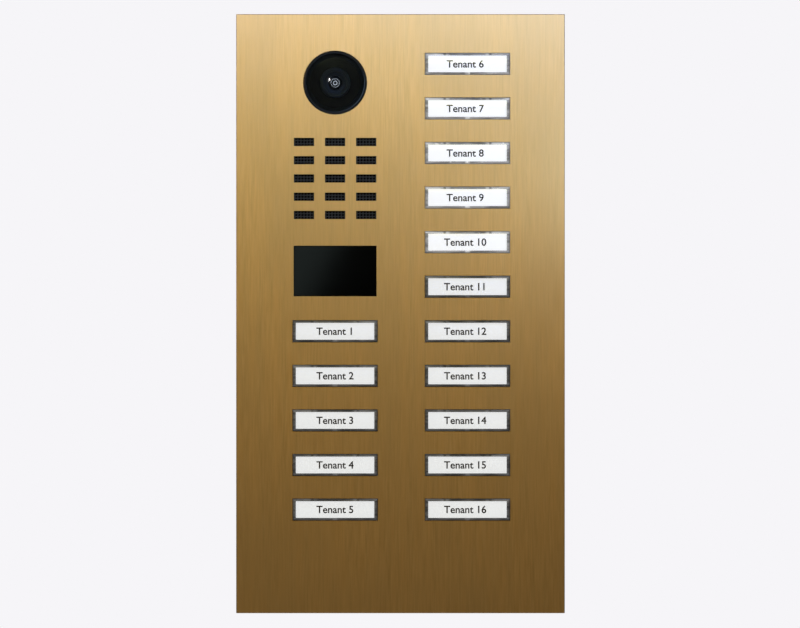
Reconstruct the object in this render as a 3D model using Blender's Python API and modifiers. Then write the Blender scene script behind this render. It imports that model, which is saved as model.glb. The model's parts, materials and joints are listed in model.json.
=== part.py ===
"""Flush-mounted door intercom panel: call buttons, a camera, a loudspeaker, a microphone and a sensor window.

Frame: metres, +Z up, and the front faces -Y. The origin is the middle of the opening in the wall, in the
plane of the wall's surface. What has y < 0 stands proud of the wall, and what has y > 0 is sunk in it.

The brushed metal plate is bonded to a moulded frame, whose bosses sit in blind holes in the plate's back. The
frame holds the camera, the speaker and the boards. Two tongues on the frame hook into the back box at the
top. Two grub screws go up through the plate's bottom edge, and their tips stand in holes in the box's lock
tabs.
"""

import math

import bmesh
import bpy
from mathutils import Matrix, Vector

# Room left between pieces that touch on the real object.
GAP = 0.0003

# How far a cutter runs past the face it cuts, and how far a joined shape is sunk in its neighbour.
PAST = 0.0010
SUNK = 0.0005

# The metal plate.
PANEL_WIDTH = 0.2070
PANEL_HEIGHT = 0.3774
PANEL_THICKNESS = 0.0040
PANEL_BACK = -0.0010
PANEL_FRONT = PANEL_BACK - PANEL_THICKNESS
PANEL_BOTTOM = -PANEL_HEIGHT / 2
PANEL_CHAMFER = 0.0003

# The layout of the front.
LEFT_X = -0.0412
RIGHT_X = 0.0422
CAMERA_Z = 0.1456
SPEAKER_Z = 0.0852
WINDOW_Z = 0.0269
TOP_BUTTON_Z = 0.1574
BUTTON_PITCH = 0.02808
BUTTON_ROWS = 11
LEFT_BUTTONS = 5

# The slots in front of the loudspeaker.
SLOT_WIDTH = 0.0128
SLOT_HEIGHT = 0.0052
SLOT_PITCH_X = 0.0196
SLOT_PITCH_Z = 0.0115
SLOT_COLUMNS = 3
SLOT_ROWS = 5

# A call button's clear cap. Pressed all the way in, it still stands a little proud of the plate.
BUTTON_TRAVEL = 0.0010
CUTOUT_WIDTH = 0.0538
CUTOUT_HEIGHT = 0.0140
CAP_WIDTH = CUTOUT_WIDTH - 2 * GAP
CAP_HEIGHT = CUTOUT_HEIGHT - 2 * GAP
CAP_BORDER_X = 0.0019
CAP_BORDER_Z = 0.0014
CAP_FACE_WIDTH = CAP_WIDTH - 2 * CAP_BORDER_X
CAP_FACE_HEIGHT = CAP_HEIGHT - 2 * CAP_BORDER_Z
CAP_FRONT = PANEL_FRONT - BUTTON_TRAVEL - 0.0002
CAP_BEVEL_DEPTH = 0.0010
CAP_BACK = CAP_FRONT + 0.0038
CARD_POCKET_DEPTH = 0.0018

# The carrier behind the cap: pad, body, flange and stem.
CARD_ROOM = 0.0003
PAD_WIDTH = 0.0488
PAD_HEIGHT = 0.0102
BODY_EASE = 0.0001
FLANGE_OVERLAP_X = 0.0016
FLANGE_OVERLAP_Z = 0.0017
FLANGE_THICKNESS = 0.0015
STEM_RADIUS = 0.0030
STEM_TIP = 0.0035

# The silicone mats, and the boards with the contacts and the lamps.
BUTTON_BOARD_WIDTH = 0.0600
BUTTON_BOARD_MARGIN = 0.0120
BUTTON_BOARD_FRONT = 0.0073
BOARD_THICKNESS = 0.0016
DOME_TOP_RADIUS = 0.0035
DOME_FOOT_RADIUS = 0.0055
DOME_SKIN = 0.0010
LAMP_X = 0.0180
LAMP_WIDTH = 0.0032
LAMP_HEIGHT = 0.0026
LAMP_WINDOW_MARGIN = 0.0014

# The camera. Its pieces are round, on one axis.
CAMERA_HOLE_RADIUS = 0.0202
TRIM_PROUD = 0.0008
TRIM_CHAMFER = 0.0005
TRIM_FLANGE = 0.0025
TRIM_BACK = 0.0010
DOME_RADIUS = 0.0180
DOME_RISE = 0.0042
DOME_WALL = 0.0014
DOME_EDGE = PANEL_FRONT + 0.0004
DOME_SKIRT = 0.0018
BARREL_RADIUS = 0.0094
HUB_RADIUS = BARREL_RADIUS + 0.0004
LENS_RADIUS = 0.0043
LENS_SEAT = 0.0010
INFRARED_LAMPS = 8
INFRARED_CIRCLE = 0.0132
INFRARED_LAMP_RADIUS = 0.0014
FILTER_FRONT = -0.0028
FILTER_BACK = -0.0016
INFRARED_BOARD_FRONT = -0.0002
INFRARED_BOARD_BACK = 0.0010
HOUSING_RADIUS = 0.0210
HOUSING_FLANGE_RADIUS = 0.0260
HOUSING_WALL = 0.0015
HOUSING_BACK = 0.0200
CAMERA_BOARD_SIDE = 0.0260
CAMERA_BOARD_FRONT = 0.0120

# The loudspeaker and the microphone, behind a mesh that sits in a seat milled in the plate's back.
MESH_FRONT = PANEL_FRONT + 0.0020
MESH_BACK = MESH_FRONT + 0.0008
MESH_SIDE = 0.0600
SPEAKER_HOLE_RADIUS = 0.0228
SPEAKER_RIM = MESH_BACK + 2 * GAP
BASKET_RADIUS = SPEAKER_HOLE_RADIUS - GAP
BASKET_MOUTH_RADIUS = 0.0189
MAGNET_RADIUS = 0.0140
MIC_OFFSET_X = SLOT_PITCH_X
MIC_OFFSET_Z = -2 * SLOT_PITCH_Z
MIC_HOLE_RADIUS = 0.0036

# The window in front of the motion sensor and the key-card reader.
WINDOW_WIDTH = 0.0523
WINDOW_HEIGHT = 0.0319
WINDOW_SUNK = 0.0002
WINDOW_FLANGE = 0.0023
WINDOW_WALL = 0.0030
WINDOW_PANE = 0.0020
SENSOR_BOARD_WIDTH = 0.0620
SENSOR_BOARD_HEIGHT = 0.0420
DETECTOR_RADIUS = 0.0046
DETECTOR_FRONT = -0.0016

# The moulded frame.
FRAME_WIDTH = 0.1780
FRAME_HEIGHT = 0.3480
FRAME_FRONT = PANEL_BACK + GAP
FRAME_BACK = 0.0053
BOSS_PLACES = [(x, z) for z in (0.150, -0.150) for x in (-0.080, 0.0005, 0.080)]
BOSS_RADIUS = 0.0025
BOSS_FRONT = PANEL_BACK - 0.0015
STANDOFF_PLACES = [(x, z) for z in (0.060, -0.120) for x in (-0.080, 0.080)]
STANDOFF_RADIUS = 0.0030
TONGUE_X = 0.0500
TONGUE_WIDTH = 0.0200
TONGUE_DEPTH = (0.0013, 0.0043)
TONGUE_REACH = 0.0039

# The main board, and what stands on its back: (x, z, width, height, rise), from the board's middle.
MAIN_BOARD_FRONT = 0.0260
MAIN_BOARD_WIDTH = 0.1680
MAIN_BOARD_HEIGHT = 0.2000
MAIN_BOARD_Z = -0.0300
COMPONENTS = {
    "shielded_computer_module": (-0.030, 0.055, 0.040, 0.034, 0.0035),
    "audio_chip": (0.030, 0.060, 0.017, 0.017, 0.0016),
    "memory_chip": (0.055, 0.030, 0.014, 0.010, 0.0012),
    "power_inductor": (-0.055, 0.000, 0.012, 0.012, 0.0060),
    "network_transformer": (0.020, 0.010, 0.018, 0.016, 0.0080),
    "door_relay": (0.062, -0.030, 0.016, 0.020, 0.0095),
}
CAPACITOR_PLACES = [(x, -0.020) for x in (-0.020, -0.006, 0.008)]
CAPACITOR_RADIUS = 0.0040
CAPACITOR_RISE = 0.0100
TERMINALS = {"network_terminal_block": -0.045, "relay_terminal_block": 0.020}
TERMINAL_Z = -0.0850
TERMINAL_SIZE = (0.0440, 0.0120, 0.0110)
TERMINAL_WAYS = 8
TERMINAL_PITCH = 0.0050

# The box in the wall.
BOX_WIDTH = 0.1870
BOX_HEIGHT = 0.3570
BOX_FRONT = 0.0003
BOX_BACK = 0.0520
BOX_WALL = 0.0022
BOX_CORNER = 0.0060
BOX_FLOOR = BOX_BACK - BOX_WALL
POST_PLACES = [(x, z) for x in (-0.082, 0.082) for z in (-0.167, 0.167)]
POST_RADIUS = 0.0040
WALL_SCREW_PLACES = [(x, z) for x in (-0.060, 0.060) for z in (-0.120, 0.120)]
WALL_SCREW_RADIUS = 0.0025
RIB_DEPTH = (0.0100, 0.0470)
RIB_RISE = 0.0012
RIB_HALF_WIDTH = 0.0010
SIDE_RIBS_Z = (-0.135, -0.045, 0.045, 0.135)
END_RIBS_X = (-0.075, 0.0, 0.075)
KNOCK_OUT_RADIUS = 0.0100
KNOCK_OUT_DEPTH = 0.0008
KNOCK_OUT_Y = 0.0270
SIDE_KNOCK_OUTS_Z = (-0.090, 0.0, 0.090)
END_KNOCK_OUTS_X = (-0.030, 0.030)
REAR_KNOCK_OUT_X = 0.0450
CABLE_ENTRY_Z = -0.1400
CABLE_ENTRY_RADIUS = 0.0110
CABLE_RADIUS = 0.0040
GROMMET_FLANGE_RADIUS = 0.0135

# The two grub screws at the bottom, and the tabs on the box that their tips stand in.
LOCK_X = 0.0550
LOCK_SCREW_RADIUS = 0.0010
LOCK_SCREW_Y = -0.0025
LOCK_SOCKET_RADIUS = 0.0006
LOCK_SOCKET_DEPTH = 0.0018
LOCK_TAB_FRONT = -0.0042
LOCK_TAB_WIDTH = 0.0120
LOCK_TAB_Z = (-BOX_HEIGHT / 2, -BOX_HEIGHT / 2 + BOX_WALL)

# Sides of a round piece: where its outline shows, elsewhere, on a rod, and on a small pin or hole.
FINE = 40
MEDIUM = 24
COARSE = 16
PIN = 12


def clear_scene():
    for obj in list(bpy.data.objects):
        bpy.data.objects.remove(obj, do_unlink=True)


def new_collection(name):
    collection = bpy.data.collections.new(name)
    bpy.context.scene.collection.children.link(collection)
    return collection


def new_material(name, colour, roughness, metallic=0.0, alpha=1.0):
    material = bpy.data.materials.new(name)
    material.use_nodes = True
    shader = material.node_tree.nodes["Principled BSDF"]
    shader.inputs["Base Color"].default_value = (*colour, 1.0)
    shader.inputs["Roughness"].default_value = roughness
    shader.inputs["Metallic"].default_value = metallic
    shader.inputs["Alpha"].default_value = alpha
    material.diffuse_color = (*colour, alpha)
    return material


clear_scene()
INTERCOM = new_collection("door_intercom_panel")
HELPERS = new_collection("cutters_and_joiners")

BRUSHED_BRASS = new_material("brushed_brass", (0.62, 0.45, 0.22), 0.35, 1.0)
BLACK_GLOSS = new_material("black_gloss_plastic", (0.012, 0.013, 0.014), 0.08)
BLACK_MATT = new_material("black_matt_plastic", (0.02, 0.02, 0.022), 0.55)
GREY_PLASTIC = new_material("grey_moulded_plastic", (0.10, 0.11, 0.12), 0.60)
CLEAR_ACRYLIC = new_material("clear_acrylic", (0.85, 0.88, 0.90), 0.05, 0.0, 0.35)
SMOKED_ACRYLIC = new_material("smoked_acrylic", (0.05, 0.06, 0.07), 0.05, 0.0, 0.40)
LENS_GLASS = new_material("coated_lens_glass", (0.03, 0.03, 0.08), 0.03, 0.0, 0.60)
WHITE_DIFFUSER = new_material("white_diffuser", (0.90, 0.90, 0.91), 0.45)
SILICONE = new_material("translucent_silicone", (0.55, 0.56, 0.55), 0.50)
RUBBER = new_material("black_rubber", (0.03, 0.03, 0.03), 0.80)
CIRCUIT_BOARD = new_material("circuit_board", (0.02, 0.13, 0.06), 0.45)
TERMINAL_GREEN = new_material("terminal_green", (0.05, 0.30, 0.12), 0.50)
STEEL = new_material("steel", (0.55, 0.55, 0.56), 0.30, 1.0)
PAPER_CONE = new_material("speaker_cone_paper", (0.06, 0.06, 0.06), 0.85)


# Small tools that add primitives to a bmesh, and that make objects and Booleans.


def add_box(bm, x, y, z):
    """A box that spans three (low, high) pairs."""
    low, high = Vector((x[0], y[0], z[0])), Vector((x[1], y[1], z[1]))
    matrix = Matrix.Translation((low + high) / 2) @ Matrix.Diagonal((*(high - low), 1.0))
    bmesh.ops.create_cube(bm, size=1.0, matrix=matrix)


def add_centred_box(bm, centre_x, centre_z, width, height, y):
    """A box by its centre and size as seen from the front, and its span in depth."""
    x = (centre_x - width / 2, centre_x + width / 2)
    z = (centre_z - height / 2, centre_z + height / 2)
    add_box(bm, x, y, z)


def add_rod(bm, start, end, radius, end_radius=None, segments=COARSE):
    """A cylinder, or a cone with its own end radius, between two points."""
    start, end = Vector(start), Vector(end)
    turn = (end - start).to_track_quat("Z", "Y").to_matrix().to_4x4()
    bmesh.ops.create_cone(
        bm,
        cap_ends=True,
        segments=segments,
        radius1=radius,
        radius2=radius if end_radius is None else end_radius,
        depth=(end - start).length,
        matrix=Matrix.Translation((start + end) / 2) @ turn,
    )


def add_rod_in_depth(bm, x, z, y, radius, end_radius=None, segments=COARSE):
    """A cylinder or cone that runs front to back."""
    add_rod(bm, (x, y[0], z), (x, y[1], z), radius, end_radius, segments)


def mesh_from(bm, name):
    bmesh.ops.recalc_face_normals(bm, faces=bm.faces)
    mesh = bpy.data.meshes.new(name)
    bm.to_mesh(mesh)
    bm.free()
    return mesh


def place(name, data, material, parent=None):
    """A named piece of the intercom. Data is a mesh or a curve, which copies of a piece share."""
    if not data.materials:
        data.materials.append(material)
    obj = bpy.data.objects.new(name, data)
    obj.parent = parent
    INTERCOM.objects.link(obj)
    return obj


def group(name, x, z):
    """An empty in the wall's plane, on the axis of the pieces that hang on it."""
    empty = bpy.data.objects.new(name, None)
    empty.location = (x, 0.0, z)
    empty.empty_display_size = 0.01
    INTERCOM.objects.link(empty)
    return empty


def boolean(target, operation, bm, name):
    """Joins or cuts target with the shapes in bm."""
    tool = bpy.data.objects.new(name, mesh_from(bm, name))
    tool.hide_render = True
    tool.display_type = "WIRE"
    tool.parent = target.parent
    HELPERS.objects.link(tool)
    modifier = target.modifiers.new(name, "BOOLEAN")
    modifier.operation = operation
    modifier.object = tool


def join(target, bm, name):
    boolean(target, "UNION", bm, name)


def cut(target, bm, name):
    boolean(target, "DIFFERENCE", bm, name)


def flat_piece(name, centre_x, centre_z, width, height, y, material, parent):
    """A plain plate, such as a circuit board before its components are joined to it."""
    bm = bmesh.new()
    add_centred_box(bm, centre_x, centre_z, width, height, y)
    return place(name, mesh_from(bm, name), material, parent)


def stepped_block(name, sections):
    """A block whose outline changes along its depth. Each section is (y, width, height). The last sections
    may go back towards the first, which hollows the block out from its end."""

    def fit(verts, section):
        y, width, height = section
        for vert in verts:
            side_x = math.copysign(width / 2, vert.co.x)
            side_z = math.copysign(height / 2, vert.co.z)
            vert.co = (side_x, y, side_z)

    bm = bmesh.new()
    bmesh.ops.create_cube(bm, size=1.0)
    front = [v for v in bm.verts if v.co.y < 0]
    back = [v for v in bm.verts if v.co.y > 0]
    end = next(f for f in bm.faces if all(v in back for v in f.verts))
    fit(front, sections[0])
    fit(back, sections[1])
    for section in sections[2:]:
        grown = bmesh.ops.extrude_face_region(bm, geom=[end])["geom"]
        bm.faces.remove(end)
        end = next(g for g in grown if isinstance(g, bmesh.types.BMFace))
        fit(end.verts, section)
    return mesh_from(bm, name)


def turned(name, profile, material, parent, closed=False, steps=FINE):
    """A piece turned about the depth axis. The profile is (radius, y) points, from the front down the outer
    side to the back. A closed profile makes a ring, and any other one starts and ends on the axis."""
    bm = bmesh.new()
    verts = [bm.verts.new((radius, 0.0, -y)) for radius, y in profile]
    for first, second in zip(verts, verts[1:]):
        bm.edges.new((first, second))
    if closed:
        bm.edges.new((verts[-1], verts[0]))
    mesh = bpy.data.meshes.new(name)
    bm.to_mesh(mesh)
    bm.free()
    obj = place(name, mesh, material, parent)
    obj.rotation_euler.x = math.pi / 2
    screw = obj.modifiers.new("turn", "SCREW")
    screw.steps = steps
    screw.render_steps = steps
    screw.use_merge_vertices = True
    screw.merge_threshold = 0.00001
    return obj


def flat_ring(name, inner, outer, y, material, parent):
    profile = [(inner, y[0]), (outer, y[0]), (outer, y[1]), (inner, y[1])]
    return turned(name, profile, material, parent, closed=True, steps=MEDIUM)


def arc_from_axis(apex_y, radius_at_edge, rise, points):
    """(radius, y) points of a shallow spherical cap, from its apex outwards."""
    sphere = (radius_at_edge**2 + rise**2) / (2 * rise)
    half_angle = math.asin(radius_at_edge / sphere)
    angles = [half_angle * i / points for i in range(points + 1)]
    return [(sphere * math.sin(a), apex_y + sphere * (1 - math.cos(a))) for a in angles]


def rounded_rectangle(width, height, radius, steps=4):
    """Corner points of a rectangle with round corners, anticlockwise."""
    points = []
    for quarter, (side_x, side_z) in enumerate(((1, 1), (-1, 1), (-1, -1), (1, -1))):
        centre_x = side_x * (width / 2 - radius)
        centre_z = side_z * (height / 2 - radius)
        for step in range(steps + 1):
            angle = math.pi / 2 * (quarter + step / steps)
            points.append((centre_x + radius * math.cos(angle), centre_z + radius * math.sin(angle)))
    return points


# Where the repeated features are.


def right_button_heights():
    return [TOP_BUTTON_Z - row * BUTTON_PITCH for row in range(BUTTON_ROWS)]


def left_button_heights():
    return right_button_heights()[-LEFT_BUTTONS:]


def button_places():
    """(x, z) of every call button: the left column from the top down, then the right column."""
    return [(LEFT_X, z) for z in left_button_heights()] + [(RIGHT_X, z) for z in right_button_heights()]


def slot_places():
    middle_column, middle_row = (SLOT_COLUMNS - 1) / 2, (SLOT_ROWS - 1) / 2
    return [
        (LEFT_X + (column - middle_column) * SLOT_PITCH_X, SPEAKER_Z + (middle_row - row) * SLOT_PITCH_Z)
        for row in range(SLOT_ROWS)
        for column in range(SLOT_COLUMNS)
    ]


# The plate and its seal.


def panel_openings():
    """The holes right through the plate, for what shows at its front."""
    bm = bmesh.new()
    through = (PANEL_FRONT - PAST, PANEL_BACK + PAST)
    for x, z in button_places():
        add_centred_box(bm, x, z, CUTOUT_WIDTH, CUTOUT_HEIGHT, through)
    for x, z in slot_places():
        add_centred_box(bm, x, z, SLOT_WIDTH, SLOT_HEIGHT, through)
    add_centred_box(bm, LEFT_X, WINDOW_Z, WINDOW_WIDTH, WINDOW_HEIGHT, through)
    add_rod_in_depth(bm, LEFT_X, CAMERA_Z, through, CAMERA_HOLE_RADIUS, segments=FINE)
    return bm


def panel_seats():
    """The blind pockets in the plate's back, for the speaker's mesh, the frame's bosses and the tabs."""
    bm = bmesh.new()
    end = PANEL_BACK + PAST
    seat_side = MESH_SIDE + 2 * GAP
    add_centred_box(bm, LEFT_X, SPEAKER_Z, seat_side, seat_side, (MESH_FRONT - GAP, end))
    for x, z in BOSS_PLACES:
        add_rod_in_depth(bm, x, z, (BOSS_FRONT - GAP, end), BOSS_RADIUS + GAP, segments=PIN)
    half_width = LOCK_TAB_WIDTH / 2 + SUNK
    pocket_z = (LOCK_TAB_Z[0] - 2 * GAP, LOCK_TAB_Z[1] + 2 * GAP)
    for x in (-LOCK_X, LOCK_X):
        add_box(bm, (x - half_width, x + half_width), (LOCK_TAB_FRONT - GAP, end), pocket_z)
    return bm


def lock_screw_holes(z):
    """The two holes for the lock screws, over a span in height."""
    bm = bmesh.new()
    for x in (-LOCK_X, LOCK_X):
        start, end = (x, LOCK_SCREW_Y, z[0]), (x, LOCK_SCREW_Y, z[1])
        add_rod(bm, start, end, LOCK_SCREW_RADIUS + GAP, segments=PIN)
    return bm


def make_front_panel():
    bm = bmesh.new()
    add_centred_box(bm, 0.0, 0.0, PANEL_WIDTH, PANEL_HEIGHT, (PANEL_FRONT, PANEL_BACK))
    bmesh.ops.bevel(bm, geom=list(bm.edges), offset=PANEL_CHAMFER, segments=1, affect="EDGES")
    panel = place("front_panel", mesh_from(bm, "front_panel"), BRUSHED_BRASS)
    cut(panel, panel_openings(), "panel_openings")
    cut(panel, panel_seats(), "seats_and_pockets")
    cut(panel, lock_screw_holes((PANEL_BOTTOM - PAST, LOCK_TAB_Z[0])), "lock_screw_holes")


def make_lock_screws():
    bottom = PANEL_BOTTOM + GAP
    top = LOCK_TAB_Z[1] - 2 * GAP
    for name, x in (("lock_screw_left", -LOCK_X), ("lock_screw_right", LOCK_X)):
        bm = bmesh.new()
        add_rod(bm, (x, LOCK_SCREW_Y, bottom), (x, LOCK_SCREW_Y, top), LOCK_SCREW_RADIUS, segments=PIN)
        screw = place(name, mesh_from(bm, name), STEEL)
        socket = bmesh.new()
        start, end = (x, LOCK_SCREW_Y, bottom - PAST), (x, LOCK_SCREW_Y, bottom + LOCK_SOCKET_DEPTH)
        add_rod(socket, start, end, LOCK_SOCKET_RADIUS, segments=6)
        cut(screw, socket, f"{name}_socket")


def make_gasket():
    """A flat foam ring between the plate and the wall, outside the box's rim."""
    front, back = PANEL_BACK + GAP, 0.0
    inset = 0.0020
    room = 0.0005
    curve = bpy.data.curves.new("panel_gasket", "CURVE")
    curve.dimensions = "2D"
    curve.fill_mode = "BOTH"
    curve.extrude = (back - front) / 2
    outer = rounded_rectangle(PANEL_WIDTH - 2 * inset, PANEL_HEIGHT - 2 * inset, inset)
    inner = rounded_rectangle(BOX_WIDTH + 2 * room, BOX_HEIGHT + 2 * room, BOX_CORNER)
    for outline in (outer, inner):
        spline = curve.splines.new("POLY")
        spline.points.add(len(outline) - 1)
        for point, (x, z) in zip(spline.points, outline):
            point.co = (x, z, 0.0, 1.0)
        spline.use_cyclic_u = True
    gasket = place("panel_gasket", curve, RUBBER)
    gasket.location.y = (front + back) / 2
    gasket.rotation_euler.x = math.pi / 2


# The call buttons.


def button_cap_mesh():
    """A clear block with a bevelled border and a pocket behind for the name card."""
    shoulder = CAP_FRONT + CAP_BEVEL_DEPTH
    pocket_floor = CAP_BACK - CARD_POCKET_DEPTH
    pocket = (CAP_FACE_WIDTH + 2 * BODY_EASE, CAP_FACE_HEIGHT + BODY_EASE)
    return stepped_block(
        "button_cap",
        [
            (CAP_FRONT, CAP_FACE_WIDTH, CAP_FACE_HEIGHT),
            (shoulder, CAP_WIDTH, CAP_HEIGHT),
            (CAP_BACK, CAP_WIDTH, CAP_HEIGHT),
            (CAP_BACK, *pocket),
            (pocket_floor, *pocket),
        ],
    )


def button_carrier_mesh():
    """The moving body behind the cap. Its pad holds the card, and its flange, behind the plate, stops the
    button from coming out."""
    pad_front = CAP_BACK - CARD_POCKET_DEPTH + CARD_ROOM
    shoulder = CAP_BACK + GAP
    flange_back = FRAME_FRONT + FLANGE_THICKNESS
    body = (CAP_WIDTH - 2 * BODY_EASE, CAP_HEIGHT - 2 * BODY_EASE)
    flange = (CUTOUT_WIDTH + 2 * FLANGE_OVERLAP_X, CUTOUT_HEIGHT + 2 * FLANGE_OVERLAP_Z)
    return stepped_block(
        "button_carrier",
        [
            (pad_front, PAD_WIDTH, PAD_HEIGHT),
            (shoulder, PAD_WIDTH, PAD_HEIGHT),
            (shoulder, *body),
            (FRAME_FRONT, *body),
            (FRAME_FRONT, *flange),
            (flange_back, *flange),
        ],
    )


def make_call_buttons():
    """Sixteen caps, each on a carrier with a round stem that presses the silicone dome."""
    cap_mesh, carrier_mesh = button_cap_mesh(), button_carrier_mesh()
    for number, (x, z) in enumerate(button_places(), start=1):
        button = group(f"call_button_{number:02d}", x, z)
        place(f"button_cap_{number:02d}", cap_mesh, CLEAR_ACRYLIC, button)
        carrier = place(f"button_carrier_{number:02d}", carrier_mesh, WHITE_DIFFUSER, button)
        stem = bmesh.new()
        add_rod_in_depth(stem, 0.0, 0.0, (0.0, STEM_TIP), STEM_RADIUS, segments=PIN)
        join(carrier, stem, f"stem_{number:02d}")


def make_button_mat(side, column, offsets, height):
    """A silicone mat with a hollow dome under each button, and windows for the two lamps beside it."""
    front, back = FRAME_BACK + GAP, BUTTON_BOARD_FRONT - GAP
    dome_top = STEM_TIP + GAP
    name = f"button_mat_{side}"
    mat = flat_piece(name, 0.0, 0.0, BUTTON_BOARD_WIDTH, height, (front, back), SILICONE, column)
    window = (LAMP_WIDTH + 2 * LAMP_WINDOW_MARGIN, LAMP_HEIGHT + LAMP_WINDOW_MARGIN)
    hollow_top = (dome_top + DOME_SKIN, DOME_TOP_RADIUS - 1.3 * DOME_SKIN)
    hollow_foot = (back + PAST, DOME_FOOT_RADIUS - 0.7 * DOME_SKIN)
    domes, hollows = bmesh.new(), bmesh.new()
    for z in offsets:
        dome_span = (dome_top, front + SUNK)
        add_rod_in_depth(domes, 0.0, z, dome_span, DOME_TOP_RADIUS, DOME_FOOT_RADIUS, segments=PIN)
        hollow_span = (hollow_top[0], hollow_foot[0])
        add_rod_in_depth(hollows, 0.0, z, hollow_span, hollow_top[1], hollow_foot[1], segments=PIN)
        for x in (-LAMP_X, LAMP_X):
            add_centred_box(hollows, x, z, *window, (front - PAST, back + PAST))
    join(mat, domes, f"domes_{side}")
    cut(mat, hollows, f"hollows_{side}")


def make_button_board(side, column, offsets, height):
    """The board behind a mat, with two lamps for each button and a socket on its back."""
    back = BUTTON_BOARD_FRONT + BOARD_THICKNESS
    name = f"button_board_{side}"
    span = (BUTTON_BOARD_FRONT, back)
    board = flat_piece(name, 0.0, 0.0, BUTTON_BOARD_WIDTH, height, span, CIRCUIT_BOARD, column)
    lamp_front = BUTTON_BOARD_FRONT - 0.0011
    socket_width, socket_height, socket_depth = 0.0180, 0.0060, 0.0050
    parts = bmesh.new()
    for z in offsets:
        for x in (-LAMP_X, LAMP_X):
            add_centred_box(parts, x, z, LAMP_WIDTH, LAMP_HEIGHT, (lamp_front, back - SUNK))
    add_centred_box(parts, 0.0, offsets[-1], socket_width, socket_height, (back - SUNK, back + socket_depth))
    join(board, parts, f"lamps_and_socket_{side}")


def make_button_column(side, x, heights):
    """One column's silicone mat and the board behind it."""
    middle_z = (heights[0] + heights[-1]) / 2
    column = group(f"button_column_{side}", x, middle_z)
    offsets = [z - middle_z for z in heights]
    height = heights[0] - heights[-1] + 2 * BUTTON_BOARD_MARGIN
    make_button_mat(side, column, offsets, height)
    make_button_board(side, column, offsets, height)


# The camera.


def make_trim_ring(camera):
    lip = PANEL_FRONT - TRIM_PROUD
    inner, outer = DOME_RADIUS + GAP, CAMERA_HOLE_RADIUS - GAP
    profile = [
        (inner, lip + TRIM_CHAMFER),
        (inner + TRIM_CHAMFER, lip),
        (outer - TRIM_CHAMFER, lip),
        (outer, lip + TRIM_CHAMFER),
        (outer, FRAME_FRONT),
        (outer + TRIM_FLANGE, FRAME_FRONT),
        (outer + TRIM_FLANGE, TRIM_BACK),
        (inner, TRIM_BACK),
    ]
    turned("camera_trim_ring", profile, BLACK_GLOSS, camera, closed=True)


def make_dome(camera):
    apex = DOME_EDGE - DOME_RISE
    skirt_end = DOME_EDGE + DOME_SKIRT
    inner_radius = DOME_RADIUS - DOME_WALL
    outside = arc_from_axis(apex, DOME_RADIUS, DOME_RISE, 6)
    inside = arc_from_axis(apex + DOME_WALL, inner_radius, DOME_RISE - 0.0004, 6)
    skirt = [(DOME_RADIUS, skirt_end), (inner_radius, skirt_end)]
    turned("camera_dome", outside + skirt + inside[::-1], SMOKED_ACRYLIC, camera)


def make_infrared_lamps(camera):
    """A ring of lamps on their board, behind a black filter ring."""
    outer = DOME_RADIUS - DOME_WALL - 2 * GAP
    flat_ring("infrared_filter", HUB_RADIUS, outer, (FILTER_FRONT, FILTER_BACK), BLACK_GLOSS, camera)
    span = (INFRARED_BOARD_FRONT, INFRARED_BOARD_BACK)
    board = flat_ring("infrared_board", HUB_RADIUS + 0.0002, outer, span, CIRCUIT_BOARD, camera)
    lamps = bmesh.new()
    lamp_span = (FILTER_BACK + GAP, INFRARED_BOARD_FRONT + SUNK)
    for lamp in range(INFRARED_LAMPS):
        angle = math.tau * lamp / INFRARED_LAMPS
        x, z = INFRARED_CIRCLE * math.cos(angle), INFRARED_CIRCLE * math.sin(angle)
        add_rod_in_depth(lamps, x, z, lamp_span, INFRARED_LAMP_RADIUS, segments=8)
    join(board, lamps, "infrared_lamps")


def make_lens(camera):
    """The barrel, stepped at its nose round the seat of the lens glass, and the glass."""
    nose = -0.0038
    seat_radius = LENS_RADIUS + GAP
    tail_radius, shoulder, tail_end = 0.0070, 0.0060, 0.0090
    profile = [
        (0.0, LENS_SEAT),
        (seat_radius, LENS_SEAT),
        (seat_radius, nose + 0.0016),
        (0.0068, nose + 0.0008),
        (0.0071, nose + 0.0014),
        (0.0074, nose + 0.0002),
        (BARREL_RADIUS - GAP, nose),
        (BARREL_RADIUS, nose + GAP),
        (BARREL_RADIUS, shoulder),
        (tail_radius, shoulder),
        (tail_radius, tail_end),
        (0.0, tail_end),
    ]
    turned("lens_barrel", profile, BLACK_MATT, camera, steps=32)
    bulge = arc_from_axis(nose, LENS_RADIUS, 0.0016, 5)
    glass_back = LENS_SEAT - GAP
    foot = [(LENS_RADIUS, glass_back), (0.0, glass_back)]
    turned("lens_glass", bulge + foot, LENS_GLASS, camera, steps=MEDIUM)


def make_camera_housing(camera):
    front = TRIM_BACK + GAP
    flange_front = FRAME_BACK + GAP
    inside = HOUSING_RADIUS - HOUSING_WALL
    profile = [
        (HUB_RADIUS, front),
        (HOUSING_RADIUS, front),
        (HOUSING_RADIUS, flange_front),
        (HOUSING_FLANGE_RADIUS, flange_front),
        (HOUSING_FLANGE_RADIUS, flange_front + HOUSING_WALL),
        (HOUSING_RADIUS, flange_front + HOUSING_WALL),
        (HOUSING_RADIUS, HOUSING_BACK),
        (inside, HOUSING_BACK),
        (inside, front + HOUSING_WALL),
        (HUB_RADIUS, front + HOUSING_WALL),
    ]
    turned("camera_housing", profile, BLACK_MATT, camera, closed=True, steps=MEDIUM)


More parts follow.
